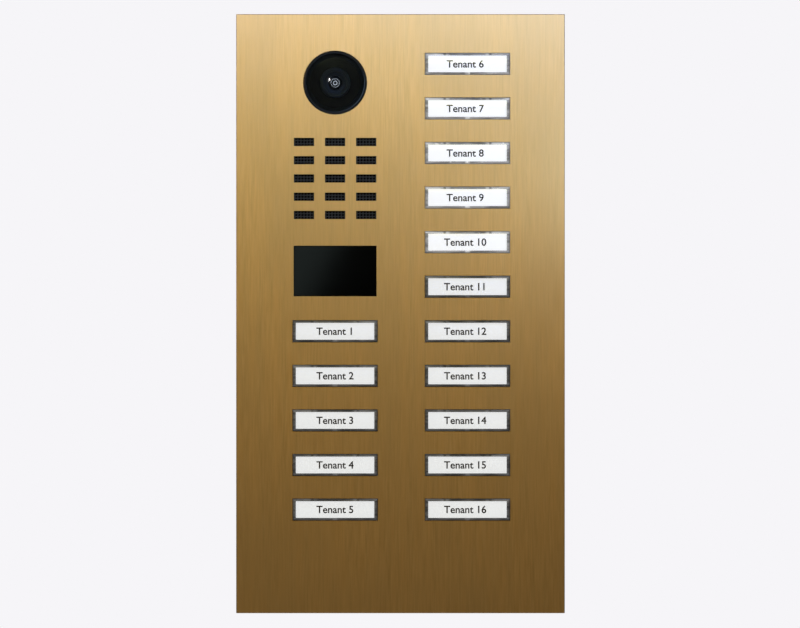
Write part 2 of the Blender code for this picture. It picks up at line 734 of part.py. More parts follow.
def make_camera_board(camera):
    """The board with the image sensor on its front, and a processor and a socket on its back."""
    front, back = CAMERA_BOARD_FRONT, CAMERA_BOARD_FRONT + BOARD_THICKNESS
    side = CAMERA_BOARD_SIDE
    board = flat_piece("camera_board", 0.0, 0.0, side, side, (front, back), CIRCUIT_BOARD, camera)
    sensor_side, sensor_rise = 0.0090, 0.0016
    processor_side, processor_rise = 0.0100, 0.0011
    socket_width, socket_height, socket_rise = 0.0120, 0.0040, 0.0025
    parts = bmesh.new()
    add_centred_box(parts, 0.0, 0.0, sensor_side, sensor_side, (front - sensor_rise, front + SUNK))
    processor_span = (back - SUNK, back + processor_rise)
    add_centred_box(parts, 0.003, 0.002, processor_side, processor_side, processor_span)
    add_centred_box(parts, -0.003, -0.009, socket_width, socket_height, (back - SUNK, back + socket_rise))
    join(board, parts, "image_sensor_and_chips")


def make_camera():
    camera = group("camera", LEFT_X, CAMERA_Z)
    make_trim_ring(camera)
    make_dome(camera)
    make_infrared_lamps(camera)
    make_lens(camera)
    make_camera_housing(camera)
    make_camera_board(camera)


# The loudspeaker and the microphone.


def make_speaker(audio):
    """A steel basket with its magnet, and a paper cone with a rolled edge in its mouth."""
    rim = SPEAKER_RIM
    seat_depth, cup_depth = 0.0030, 0.0086
    flange_depth, basket_depth, full_depth = 0.0060, 0.0098, 0.0142
    cup_radius, flange_step_radius = 0.0120, 0.0200
    basket = [
        (0.0, rim + cup_depth),
        (cup_radius, rim + cup_depth),
        (BASKET_MOUTH_RADIUS, rim + seat_depth),
        (BASKET_MOUTH_RADIUS, rim),
        (BASKET_RADIUS, rim),
        (BASKET_RADIUS, rim + flange_depth),
        (flange_step_radius, rim + flange_depth),
        (MAGNET_RADIUS, rim + basket_depth),
        (MAGNET_RADIUS, rim + full_depth),
        (0.0, rim + full_depth),
    ]
    turned("speaker_basket", basket, STEEL, audio, steps=MEDIUM)

    paper = 0.0007
    cap_radius, cone_radius, roll_radius = 0.0045, 0.0155, 0.0170
    edge_radius = BASKET_MOUTH_RADIUS - 0.0004
    front = [
        (0.0, rim + 0.0062),
        (cap_radius, rim + 0.0066),
        (cone_radius, rim + 0.0016),
        (roll_radius, rim + 0.0009),
        (edge_radius, rim + 0.0013),
    ]
    back = [
        (edge_radius, rim + 0.0019),
        (cone_radius, rim + 0.0016 + paper),
        (cap_radius, rim + 0.0066 + paper),
        (0.0, rim + 0.0066 + paper),
    ]
    turned("speaker_cone", front + back, PAPER_CONE, audio, steps=MEDIUM)


def make_audio():
    audio = group("audio", LEFT_X, SPEAKER_Z)
    flat_piece("speaker_mesh", 0.0, 0.0, MESH_SIDE, MESH_SIDE, (MESH_FRONT, MESH_BACK), BLACK_MATT, audio)
    make_speaker(audio)
    bm = bmesh.new()
    microphone_back = FRAME_BACK + SUNK
    span = (SPEAKER_RIM, microphone_back)
    add_rod_in_depth(bm, MIC_OFFSET_X, MIC_OFFSET_Z, span, MIC_HOLE_RADIUS - GAP)
    place("microphone", mesh_from(bm, "microphone"), STEEL, audio)


# The sensor window and its board.


def make_sensor():
    sensor = group("sensor", LEFT_X, WINDOW_Z)
    front, flange_back = PANEL_FRONT + WINDOW_SUNK, TRIM_BACK
    face = (WINDOW_WIDTH - 2 * GAP, WINDOW_HEIGHT - 2 * GAP)
    flange = (WINDOW_WIDTH + 2 * WINDOW_FLANGE, WINDOW_HEIGHT + 2 * WINDOW_FLANGE)
    hollow = (face[0] - 2 * WINDOW_WALL, face[1] - 2 * WINDOW_WALL)
    pane = stepped_block(
        "sensor_window",
        [
            (front, *face),
            (FRAME_FRONT, *face),
            (FRAME_FRONT, *flange),
            (flange_back, *flange),
            (flange_back, *hollow),
            (front + WINDOW_PANE, *hollow),
        ],
    )
    place("sensor_window", pane, BLACK_GLOSS, sensor)

    board_front = FRAME_BACK + GAP
    span = (board_front, board_front + BOARD_THICKNESS)
    size = (SENSOR_BOARD_WIDTH, SENSOR_BOARD_HEIGHT)
    board = flat_piece("sensor_board", 0.0, 0.0, *size, span, CIRCUIT_BOARD, sensor)
    detector = bmesh.new()
    add_rod_in_depth(detector, 0.0, 0.0, (DETECTOR_FRONT, board_front + SUNK), DETECTOR_RADIUS)
    join(board, detector, "motion_detector")


# The moulded frame.


def frame_additions():
    """Standoffs for the main board, tongues for the box, bosses for the plate, and the mesh's support."""
    bm = bmesh.new()
    for x, z in STANDOFF_PLACES:
        span = (FRAME_BACK - PAST, MAIN_BOARD_FRONT - GAP)
        add_rod_in_depth(bm, x, z, span, STANDOFF_RADIUS, segments=PIN)
    top = FRAME_HEIGHT / 2
    half_tongue = TONGUE_WIDTH / 2
    for x in (-TONGUE_X, TONGUE_X):
        add_box(bm, (x - half_tongue, x + half_tongue), TONGUE_DEPTH, (top - 2 * PAST, top + TONGUE_REACH))
    for x, z in BOSS_PLACES:
        add_rod_in_depth(bm, x, z, (BOSS_FRONT, FRAME_FRONT + PAST), BOSS_RADIUS, segments=PIN)
    add_centred_box(bm, LEFT_X, SPEAKER_Z, MESH_SIDE, MESH_SIDE, (MESH_BACK + GAP, FRAME_FRONT + PAST))
    return bm


def frame_openings():
    bm = bmesh.new()
    through = (FRAME_FRONT - PAST, FRAME_BACK + PAST)
    room = SUNK
    button_width = CUTOUT_WIDTH + 2 * (FLANGE_OVERLAP_X + room)
    button_height = CUTOUT_HEIGHT + 2 * (FLANGE_OVERLAP_Z + room)
    for x, z in button_places():
        add_centred_box(bm, x, z, button_width, button_height, through)
    window = (WINDOW_WIDTH + 2 * (WINDOW_FLANGE + room), WINDOW_HEIGHT + 2 * (WINDOW_FLANGE + room))
    add_centred_box(bm, LEFT_X, WINDOW_Z, *window, through)
    camera_radius = CAMERA_HOLE_RADIUS + TRIM_FLANGE + GAP
    add_rod_in_depth(bm, LEFT_X, CAMERA_Z, through, camera_radius, segments=32)
    return bm


def frame_audio_holes():
    bm = bmesh.new()
    through = (MESH_BACK - PAST, FRAME_BACK + PAST)
    add_rod_in_depth(bm, LEFT_X, SPEAKER_Z, through, SPEAKER_HOLE_RADIUS, segments=MEDIUM)
    add_rod_in_depth(bm, LEFT_X + MIC_OFFSET_X, SPEAKER_Z + MIC_OFFSET_Z, through, MIC_HOLE_RADIUS)
    return bm


def make_mounting_frame():
    span = (FRAME_FRONT, FRAME_BACK)
    frame = flat_piece("mounting_frame", 0.0, 0.0, FRAME_WIDTH, FRAME_HEIGHT, span, GREY_PLASTIC, None)
    join(frame, frame_additions(), "standoffs_tongues_and_bosses")
    cut(frame, frame_openings(), "frame_openings")
    cut(frame, frame_audio_holes(), "audio_holes")


# The main board and its terminals.


def make_main_board(electronics):
    back = MAIN_BOARD_FRONT + BOARD_THICKNESS
    span = (MAIN_BOARD_FRONT, back)
    size = (MAIN_BOARD_WIDTH, MAIN_BOARD_HEIGHT)
    board = flat_piece("main_board", 0.0, 0.0, *size, span, CIRCUIT_BOARD, electronics)
    parts = bmesh.new()
    for x, z, width, height, rise in COMPONENTS.values():
        add_centred_box(parts, x, z, width, height, (back - SUNK, back + rise))
    for x, z in CAPACITOR_PLACES:
        add_rod_in_depth(parts, x, z, (back - SUNK, back + CAPACITOR_RISE), CAPACITOR_RADIUS)
    join(board, parts, "components")


def make_terminal_block(name, x, electronics):
    """A row of wire mouths underneath, each with its screw at the back."""
    width, depth, height = TERMINAL_SIZE
    front = MAIN_BOARD_FRONT + BOARD_THICKNESS + GAP
    back = front + depth
    block = flat_piece(name, x, TERMINAL_Z, width, height, (front, back), TERMINAL_GREEN, electronics)
    mouth_half_width, mouth_depth, mouth_height = 0.0014, 0.0070, 0.0028
    mouth_front = front + 0.0030
    screw_radius, screw_depth = 0.0017, 0.0020
    bottom = TERMINAL_Z - height / 2
    mouth_y, mouth_z = (mouth_front, mouth_front + mouth_height), (bottom - PAST, bottom + mouth_depth)
    holes = bmesh.new()
    for way in range(TERMINAL_WAYS):
        way_x = x + (way - (TERMINAL_WAYS - 1) / 2) * TERMINAL_PITCH
        add_box(holes, (way_x - mouth_half_width, way_x + mouth_half_width), mouth_y, mouth_z)
        screw_y = (back - screw_depth, back + PAST)
        add_rod_in_depth(holes, way_x, TERMINAL_Z, screw_y, screw_radius, segments=10)
    cut(block, holes, f"{name}_holes")


def make_electronics():
    electronics = group("electronics", 0.0, MAIN_BOARD_Z)
    make_main_board(electronics)
    for name, x in TERMINALS.items():
        make_terminal_block(name, x, electronics)


# The box in the wall.


def box_tray():
    """The box's outside as an open surface, with round corners along its depth."""
    bm = bmesh.new()
    add_centred_box(bm, 0.0, 0.0, BOX_WIDTH, BOX_HEIGHT, (BOX_FRONT, BOX_BACK))
    depth_edges = [e for e in bm.edges if abs(e.verts[0].co.y - e.verts[1].co.y) > BOX_WALL]
    bmesh.ops.bevel(bm, geom=depth_edges, offset=BOX_CORNER, segments=4, profile=0.5, affect="EDGES")
    bmesh.ops.recalc_face_normals(bm, faces=bm.faces)
    opening = min(bm.faces, key=lambda face: face.calc_center_median().y)
    bmesh.ops.delete(bm, geom=[opening], context="FACES_ONLY")
    mesh = bpy.data.meshes.new("back_box")
    bm.to_mesh(mesh)
    bm.free()
    return mesh


def add_mortar_ribs(bm, side):
    """Low ribs along the box's depth: on its left or right wall, and on its top or bottom wall."""
    half_width, half_height = BOX_WIDTH / 2, BOX_HEIGHT / 2
    wall_x = sorted((side * (half_width - RIB_HALF_WIDTH), side * (half_width + RIB_RISE)))
    for z in SIDE_RIBS_Z:
        add_box(bm, wall_x, RIB_DEPTH, (z - RIB_HALF_WIDTH, z + RIB_HALF_WIDTH))
    wall_z = sorted((side * (half_height - RIB_HALF_WIDTH), side * (half_height + RIB_RISE)))
    for x in END_RIBS_X:
        add_box(bm, (x - RIB_HALF_WIDTH, x + RIB_HALF_WIDTH), RIB_DEPTH, wall_z)


def box_additions():
    """Posts for the frame, tabs that the lock screws stand in, and ribs that key the box in the mortar."""
    bm = bmesh.new()
    for x, z in POST_PLACES:
        add_rod_in_depth(bm, x, z, (FRAME_BACK + GAP, BOX_FLOOR + PAST), POST_RADIUS, segments=PIN)
    half_tab = LOCK_TAB_WIDTH / 2
    for side in (-1, 1):
        x = side * LOCK_X
        add_box(bm, (x - half_tab, x + half_tab), (LOCK_TAB_FRONT, BOX_FRONT + 2 * PAST), LOCK_TAB_Z)
        add_mortar_ribs(bm, side)
    return bm


def box_holes():
    """The cable entry, four holes for wall screws, and slots for the frame's tongues."""
    bm = bmesh.new()
    through = (BOX_FLOOR - PAST, BOX_BACK + PAST)
    add_rod_in_depth(bm, 0.0, CABLE_ENTRY_Z, through, CABLE_ENTRY_RADIUS, segments=MEDIUM)
    for x, z in WALL_SCREW_PLACES:
        add_rod_in_depth(bm, x, z, through, WALL_SCREW_RADIUS, segments=PIN)
    half_height = BOX_HEIGHT / 2
    room = 0.0004
    half_slot = TONGUE_WIDTH / 2 + room
    slot_y = (TONGUE_DEPTH[0] - room, TONGUE_DEPTH[1] + room)
    slot_z = (half_height - BOX_WALL - PAST, half_height + PAST)
    for x in (-TONGUE_X, TONGUE_X):
        add_box(bm, (x - half_slot, x + half_slot), slot_y, slot_z)
    return bm


def knock_outs():
    """Round thinned spots on all the box's outside walls, where a cable or a pipe can be let in."""
    bm = bmesh.new()
    half_width, half_height = BOX_WIDTH / 2, BOX_HEIGHT / 2
    round_spot = {"radius": KNOCK_OUT_RADIUS, "segments": 20}
    for side in (-1, 1):
        inside, outside = side * (half_width - KNOCK_OUT_DEPTH), side * (half_width + PAST)
        for z in SIDE_KNOCK_OUTS_Z:
            add_rod(bm, (inside, KNOCK_OUT_Y, z), (outside, KNOCK_OUT_Y, z), **round_spot)
        inside, outside = side * (half_height - KNOCK_OUT_DEPTH), side * (half_height + PAST)
        for x in END_KNOCK_OUTS_X:
            add_rod(bm, (x, KNOCK_OUT_Y, inside), (x, KNOCK_OUT_Y, outside), **round_spot)
        rear = (BOX_BACK - KNOCK_OUT_DEPTH, BOX_BACK + PAST)
        add_rod_in_depth(bm, side * REAR_KNOCK_OUT_X, CABLE_ENTRY_Z, rear, **round_spot)
    return bm


def make_back_box():
    box = place("back_box", box_tray(), GREY_PLASTIC)
    shell = box.modifiers.new("shell", "SOLIDIFY")
    shell.thickness = BOX_WALL
    shell.offset = -1.0
    shell.use_even_offset = True
    join(box, box_additions(), "posts_lock_tabs_and_ribs")
    cut(box, box_holes(), "box_holes")
    cut(box, lock_screw_holes((LOCK_TAB_Z[0] - PAST, LOCK_TAB_Z[1] + PAST)), "tab_holes")
    cut(box, knock_outs(), "knock_outs")


def make_cable_grommet():
    """A rubber ring that grips the edge of the cable entry, with a tapered nose and a hole for the cable."""
    neck = CABLE_ENTRY_RADIUS - GAP
    flange = GROMMET_FLANGE_RADIUS
    lip, nose, nose_radius = 0.0015, 0.0055, 0.0060
    profile = [
        (CABLE_RADIUS, BOX_FLOOR - nose),
        (nose_radius, BOX_FLOOR - nose),
        (flange, BOX_FLOOR - GAP - lip),
        (flange, BOX_FLOOR - GAP),
        (neck, BOX_FLOOR - GAP),
        (neck, BOX_BACK + GAP),
        (flange, BOX_BACK + GAP),
        (flange, BOX_BACK + lip),
        (CABLE_RADIUS, BOX_BACK + lip),
    ]
    cable_entry = group("cable_entry", 0.0, CABLE_ENTRY_Z)
    turned("cable_grommet", profile, RUBBER, cable_entry, closed=True, steps=MEDIUM)


make_front_panel()
make_lock_screws()
make_gasket()
make_call_buttons()
make_button_column("left", LEFT_X, left_button_heights())
make_button_column("right", RIGHT_X, right_button_heights())
make_camera()
make_audio()
make_sensor()
make_mounting_frame()
make_electronics()
make_back_box()
make_cable_grommet()
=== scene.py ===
"""Looks of the door intercom panel: materials, fine pieces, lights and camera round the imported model.

The frame is in metres. +Z is up, the front faces -Y, and the wall's surface is the plane y = 0.
"""

import json
import math

import bmesh
import bpy
from mathutils import Matrix, Vector


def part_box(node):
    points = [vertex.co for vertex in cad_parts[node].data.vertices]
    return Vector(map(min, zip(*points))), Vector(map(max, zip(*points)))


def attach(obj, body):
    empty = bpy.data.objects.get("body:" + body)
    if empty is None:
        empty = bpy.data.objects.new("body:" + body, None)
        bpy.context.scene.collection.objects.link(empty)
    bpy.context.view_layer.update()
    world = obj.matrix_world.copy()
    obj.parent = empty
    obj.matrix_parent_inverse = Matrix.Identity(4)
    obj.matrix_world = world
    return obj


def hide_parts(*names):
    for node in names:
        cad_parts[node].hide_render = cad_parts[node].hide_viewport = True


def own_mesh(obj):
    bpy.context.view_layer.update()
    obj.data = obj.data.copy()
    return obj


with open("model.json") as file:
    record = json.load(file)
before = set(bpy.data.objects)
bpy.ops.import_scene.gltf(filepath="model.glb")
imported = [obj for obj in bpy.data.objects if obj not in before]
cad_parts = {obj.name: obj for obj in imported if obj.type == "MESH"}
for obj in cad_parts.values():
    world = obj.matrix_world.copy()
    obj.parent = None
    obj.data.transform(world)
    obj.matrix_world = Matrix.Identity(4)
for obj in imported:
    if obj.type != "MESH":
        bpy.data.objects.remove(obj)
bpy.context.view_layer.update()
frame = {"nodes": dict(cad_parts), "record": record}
NODES = frame["nodes"]

PANEL_LOW, PANEL_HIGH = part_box("front_panel")
PANEL_FRONT = PANEL_LOW.y
BUTTONS = [f"{number:02d}" for number in range(1, 17)]
LEFT_BUTTONS = BUTTONS[:5]
# The upper five of the right column get brighter painted light than the rest, on their cards and bevels.
PAINTED_BRIGHT_BUTTONS = BUTTONS[5:10]

MM = 0.001
# The air between the plate's back and the flanges behind it.
PANEL_GAP = 0.3 * MM
# The print on the right column's cards stands a little left of their middle.
RIGHT_PRINT_SHIFT = -1.4 * MM
# Steps round a turned piece, and along the camera cover's curve.
ROUND_STEPS = 96
CAP_STEPS = 20


# Nodes of a material.


def feed(tree, socket, value):
    """Gives a socket a value, or links it from an output."""
    if isinstance(value, bpy.types.NodeSocket):
        tree.links.new(value, socket)
    else:
        socket.default_value = value


def add(tree, kind, settings=None, **inputs):
    """A node with its own settings. Inputs are its sockets' values, or the outputs they link from."""
    made = tree.nodes.new(kind)
    for name, value in (settings or {}).items():
        setattr(made, name, value)
    for name, value in inputs.items():
        feed(tree, made.inputs[name.replace("_", " ")], value)
    return made


def mix_shaders(tree, factor, first, second):
    """A shader between two: the first at factor 0, the second at factor 1."""
    both = tree.nodes.new("ShaderNodeMixShader")
    for socket, output in zip(both.inputs, (factor, first, second)):
        tree.links.new(output, socket)
    return both.outputs["Shader"]


def grey(value):
    return (value, value, value, 1.0)


def tint(red, green, blue):
    return (red, green, blue, 1.0)


class Look:
    """A material with one Principled shader, whose constants are set straight on its sockets."""

    def __init__(self, name, colour, roughness, metallic=0.0, **constants):
        self.material = bpy.data.materials.new(name)
        self.material.use_nodes = True
        self.tree = self.material.node_tree
        self.shader = self.tree.nodes["Principled BSDF"]
        self.output = self.tree.nodes["Material Output"]
        self.set("Base Color", colour)
        self.set("Roughness", roughness)
        self.set("Metallic", metallic)
        for socket, value in constants.items():
            self.set(socket.replace("_", " "), value)
        self.material.diffuse_color = colour

    def set(self, socket, value):
        self.shader.inputs[socket].default_value = value

    def link(self, socket, output):
        self.tree.links.new(output, self.shader.inputs[socket])

    def noise(self, stretch, detail=3.0, shift=0.0, roughness=0.5):
        """Noise in object space. Stretch is the number of features in a metre along X, Y and Z."""
        place = add(self.tree, "ShaderNodeTexCoord").outputs["Object"]
        moved = (shift, shift, shift)
        scaled = add(self.tree, "ShaderNodeMapping", Vector=place, Location=moved, Scale=stretch)
        grain = {"Scale": 1.0, "Detail": detail, "Roughness": roughness}
        noise = add(self.tree, "ShaderNodeTexNoise", Vector=scaled.outputs["Vector"], **grain)
        return noise.outputs["Fac"]

    def ramp(self, factor, low, high, start=0.3, end=0.7):
        """A number that runs from low to high while factor runs from start to end."""
        limits = {"From_Min": start, "From_Max": end, "To_Min": low, "To_Max": high}
        node = add(self.tree, "ShaderNodeMapRange", {"clamp": True}, Value=factor, **limits)
        return node.outputs["Result"]

    def mix(self, factor, first, second, blend="MIX"):
        """A colour between two colours. Each is a colour or an output.

        The node has sockets for every type of data under the same names, so its colours go by number.
        """
        first_colour, second_colour, mixed_colour = 6, 7, 2
        node = add(self.tree, "ShaderNodeMix", {"data_type": "RGBA", "blend_type": blend})
        feed(self.tree, node.inputs["Factor"], factor)
        feed(self.tree, node.inputs[first_colour], first)
        feed(self.tree, node.inputs[second_colour], second)
        return node.outputs[mixed_colour]

    def calculate(self, operation, *terms):
        """The result of a Math node. Each term is a number or an output."""
        node = add(self.tree, "ShaderNodeMath", {"operation": operation})
        for socket, term in zip(node.inputs, terms):
            feed(self.tree, socket, term)
        return node.outputs["Value"]

    def gap_between(self, first, second):
        """How far two numbers are apart."""
        return self.calculate("ABSOLUTE", self.calculate("SUBTRACT", first, second))

    def bump(self, height, distance, strength=1.0):
        node = add(self.tree, "ShaderNodeBump", Height=height, Distance=distance, Strength=strength)
        self.link("Normal", node.outputs["Normal"])

    def show_through(self, tint_colour, ior):
        """Makes the surface clear. Light goes through it tinted, and the IOR sets what it reflects."""
        clear = add(self.tree, "ShaderNodeBsdfTransparent", Color=tint_colour)
        fresnel = add(self.tree, "ShaderNodeFresnel", IOR=ior)
        gloss = self.shader.outputs["BSDF"]
        surface = mix_shaders(self.tree, fresnel.outputs["Fac"], clear.outputs["BSDF"], gloss)
        self.tree.links.new(surface, self.output.inputs["Surface"])


# The materials.


def brushed_brass():
    """Metal brushed up and down. The lines are fine noise stretched along Z, on wider and softer bands."""
    brush = {"Anisotropic": 0.5, "Anisotropic_Rotation": 0.25}
    look = Look("brushed_brass", tint(0.80, 0.54, 0.24), 0.45, 1.0, **brush)
    dark_line, bright_line = tint(0.73, 0.483, 0.200), tint(0.865, 0.592, 0.264)
    warm_band, dull_cloud = tint(0.92, 0.60, 0.245), tint(0.70, 0.495, 0.235)
    tangent = add(look.tree, "ShaderNodeTangent", {"direction_type": "RADIAL", "axis": "X"})
    look.link("Tangent", tangent.outputs["Tangent"])
    lines = look.noise((1000, 1000, 40), detail=4.0, roughness=0.62)
    bands = look.noise((210, 210, 12), detail=2.0, shift=3.0)
    clouds = look.noise((30, 30, 9), detail=3.0, shift=7.0)
    fine = look.mix(look.ramp(lines, 0.0, 1.0, 0.34, 0.66), dark_line, bright_line)
    banded = look.mix(look.ramp(bands, 0.0, 0.40, 0.35, 0.65), fine, warm_band)
    clouded = look.mix(look.ramp(clouds, 0.0, 0.45, 0.38, 0.62), banded, dull_cloud)
    look.link("Base Color", clouded)
    look.link("Roughness", look.ramp(lines, 0.43, 0.47))
    look.bump(lines, 0.02 * MM, 0.25)
    return look.material


def black_gloss():
    lacquer = {"Coat_Weight": 0.5, "Coat_Roughness": 0.04}
    look = Look("black_gloss_plastic", tint(0.006, 0.007, 0.008), 0.08, **lacquer)
    smudges = look.noise((60, 60, 60), detail=3.0)
    look.link("Roughness", look.ramp(smudges, 0.06, 0.14))
    look.link("Base Color", look.mix(smudges, tint(0.004, 0.005, 0.006), tint(0.010, 0.011, 0.013)))
    return look.material


def sensor_gloss():
    """The sensor window's black acrylic, which is a little softer in its shine than the camera's."""
    look = Look("sensor_window_acrylic", tint(0.001, 0.0012, 0.0012), 0.10)
    haze = look.noise((45, 45, 45), detail=2.0)
    look.link("Roughness", look.ramp(haze, 0.09, 0.11))
    look.link("Base Color", look.mix(haze, tint(0.0006, 0.0008, 0.0008), tint(0.0014, 0.0016, 0.0016)))
    return look.material


def moulded(name, dark, light, roughness, grain, depth):
    """Moulded plastic or rubber: a fine grain on a surface that varies a little in colour and shine."""
    look = Look(name, light, roughness)
    patches = look.noise((40, 40, 40), detail=3.0)
    pits = look.noise((grain, grain, grain), detail=2.0, shift=5.0)
    look.link("Base Color", look.mix(look.ramp(patches, 0.0, 1.0), dark, light))
    look.link("Roughness", look.ramp(pits, roughness - 0.06, roughness + 0.06))
    look.bump(pits, depth, 0.6)
    return look.material


def clear_acrylic():
    look = Look("clear_acrylic", grey(1.0), 0.03, 1.0)
    wipes = look.noise((90, 90, 90), detail=3.0)
    look.link("Roughness", look.ramp(wipes, 0.02, 0.07))
    look.show_through(tint(0.985, 0.99, 0.99), 1.45)
    return look.material


def painted_bevel_reflections(look):
    """Painted reflections on a cover's bevel: a pattern of painted light and shade for its emission.

    The top edge is painted bright towards its ends and dark in the middle, with a dark spot either side
    of the middle. The bottom edge has a painted glint in the middle. X and Z run from 0 to 1 over the
    cover.
    """
    painted_bright_ends, painted_dark_middle, painted_dark_spot, painted_glint_level = grey(1.7), grey(0.65), grey(0.45), grey(2.2)
    painted_spot_offset = 0.27
    place = add(look.tree, "ShaderNodeTexCoord").outputs["Generated"]
    axes = add(look.tree, "ShaderNodeSeparateXYZ", Vector=place).outputs
    off_middle = look.gap_between(axes["X"], 0.5)
    off_painted_spot = look.gap_between(off_middle, painted_spot_offset)
    top = look.ramp(axes["Z"], 0.0, 1.0, 0.88, 0.91)
    bottom = look.ramp(axes["Z"], 1.0, 0.0, 0.09, 0.12)
    middle = look.ramp(off_middle, 1.0, 0.0, 0.20, 0.23)
    painted_spot_mask = look.ramp(off_painted_spot, 1.0, 0.0, 0.008, 0.02)
    painted_glint = look.ramp(off_middle, 1.0, 0.0, 0.02, 0.035)
    along_top = look.mix(painted_spot_mask, look.mix(middle, painted_bright_ends, painted_dark_middle), painted_dark_spot)
    light = look.mix(top, grey(1.0), along_top)
    return look.mix(look.calculate("MULTIPLY", bottom, painted_glint), light, painted_glint_level)


def bevelled_acrylic(name, painted_light_level):
    """The cover's bevel, with painted reflections in its emission: soft streaks and bright glints."""
    look = Look(name, grey(0.12), 0.4, 0.9, Coat_Weight=0.2, Coat_Roughness=0.15, Emission_Strength=painted_light_level)
    painted_dull_streak, painted_bright_streak, painted_glint = grey(0.65), tint(1.25, 1.25, 1.27), grey(2.2)
    painted_streak_noise = look.noise((75, 300, 520), detail=3.0)
    glint_and_roughness_noise = look.noise((420, 420, 700), detail=2.0, shift=4.0)
    light = look.ramp(painted_streak_noise, 0.0, 1.0, 0.40, 0.58)
    painted_streaks = look.mix(light, painted_dull_streak, painted_bright_streak)
    painted_glints_and_streaks = look.mix(look.ramp(glint_and_roughness_noise, 0.0, 0.7, 0.62, 0.72), painted_streaks, painted_glint)
    look.link("Emission Color", look.mix(1.0, painted_glints_and_streaks, painted_bevel_reflections(look), "MULTIPLY"))
    # Painted reflections: the base colour is streaked with the same pattern.
    look.link("Base Color", look.mix(light, tint(0.030, 0.030, 0.029), tint(0.10, 0.098, 0.094)))
    look.link("Roughness", look.ramp(glint_and_roughness_noise, 0.34, 0.46))
    look.bump(painted_streak_noise, 0.05 * MM, 0.3)
    return look.material


def smoked_acrylic(name, ior):
    """Smoked acrylic with a coating, whose low IOR takes most of the reflection off it."""
    look = Look(name, grey(1.0), 0.03, 1.0)
    cloudiness = look.noise((25, 25, 25), detail=1.0)
    look.link("Roughness", look.ramp(cloudiness, 0.08, 0.10))
    look.show_through(tint(0.62, 0.66, 0.68), ior)
    return look.material


def coated_glass():
    look = Look("coated_lens_glass", tint(0.75, 0.8, 1.0), 0.02, 1.0)
    wipes = look.noise((300, 300, 300), detail=2.0)
    look.link("Roughness", look.ramp(wipes, 0.01, 0.04))
    look.show_through(tint(0.80, 0.84, 0.92), 1.6)
    return look.material


def white_diffuser():
    look = Look("white_diffuser", grey(0.86), 0.45, Subsurface_Weight=0.15, Subsurface_Scale=2 * MM)
    mottle = look.noise((120, 120, 120), detail=3.0)
    look.link("Base Color", look.mix(mottle, grey(0.82), grey(0.90)))
    look.link("Roughness", look.ramp(mottle, 0.40, 0.52))
    return look.material


def label_paper(name, painted_glow_strength):
    """A printed card whose glow is painted light, standing in for the light on it and lamps behind it."""
    look = Look(name, grey(0.35), 0.6, Emission_Strength=painted_glow_strength)
    fibres = look.noise((1400, 1400, 1400), detail=4.0)
    look.link("Base Color", look.mix(fibres, grey(0.32), grey(0.38)))
    glow = look.mix(look.ramp(fibres, 0.0, 1.0), tint(0.965, 0.97, 0.985), tint(0.985, 0.99, 1.0))
    look.link("Emission Color", glow)
    look.bump(fibres, 0.01 * MM, 0.4)
    return look.material


def label_ink():
    look = Look("label_ink", tint(0.006, 0.006, 0.007), 0.6)
    spread = look.noise((2600, 2600, 2600), detail=2.0)
    look.link("Base Color", look.mix(spread, tint(0.004, 0.004, 0.005), tint(0.012, 0.012, 0.014)))
    return look.material


def circuit_board():
    """Green solder mask over tracks, which show as a slightly lighter grid of lines."""
    look = Look("circuit_board", tint(0.015, 0.11, 0.05), 0.35, Coat_Weight=0.3, Coat_Roughness=0.15)
    greens = {
        "Color1": tint(0.012, 0.095, 0.042),
        "Color2": tint(0.016, 0.115, 0.05),
        "Mortar": tint(0.03, 0.17, 0.075),
    }
    place = add(look.tree, "ShaderNodeTexCoord").outputs["Object"]
    bricks = add(look.tree, "ShaderNodeTexBrick", Vector=place, Scale=380.0, Mortar_Size=0.06, **greens)
    look.link("Base Color", bricks.outputs["Color"])
    look.link("Roughness", look.ramp(look.noise((200, 200, 200)), 0.28, 0.42))
    return look.material


def machined_steel():
    look = Look("machined_steel", grey(0.55), 0.3, 1.0)
    turning = look.noise((500, 500, 500), detail=3.0)
    look.link("Base Color", look.mix(turning, grey(0.45), grey(0.62)))
    look.link("Roughness", look.ramp(turning, 0.22, 0.38))
    look.bump(turning, 0.01 * MM, 0.5)
    return look.material


def lens_ring_painted_glow():
    """The rings deep in the lens, made bright by painted light: they glow though they are no lamp."""
    glow = {"Emission_Color": tint(1.0, 0.90, 0.79), "Emission_Strength": 2.0}
    look = Look("lens_ring_painted_glow", grey(0.8), 0.25, 0.6, **glow)
    turning = look.noise((3000, 3000, 3000), detail=2.0)
    look.link("Base Color", look.mix(turning, grey(0.65), grey(0.85)))
    look.link("Roughness", look.ramp(turning, 0.2, 0.35))
    return look.material


def acoustic_cloth():
    look = Look("acoustic_cloth", grey(0.003), 0.9, Specular_IOR_Level=0.0)
    weave = look.noise((3500, 3500, 3500), detail=1.0)
    look.link("Base Color", look.mix(weave, grey(0.002), grey(0.006)))
    look.bump(weave, 0.03 * MM, 0.5)
    return look.material


def mesh_paint():
    look = Look("speaker_mesh_paint", tint(0.021, 0.025, 0.028), 0.45, Specular_IOR_Level=0.4)
    orange_peel = look.noise((1500, 1500, 1500), detail=2.0)
    look.link("Base Color", look.mix(orange_peel, tint(0.017, 0.020, 0.023), tint(0.025, 0.029, 0.033)))
    look.link("Roughness", look.ramp(orange_peel, 0.38, 0.52))
    look.bump(orange_peel, 0.02 * MM, 0.4)
    return look.material


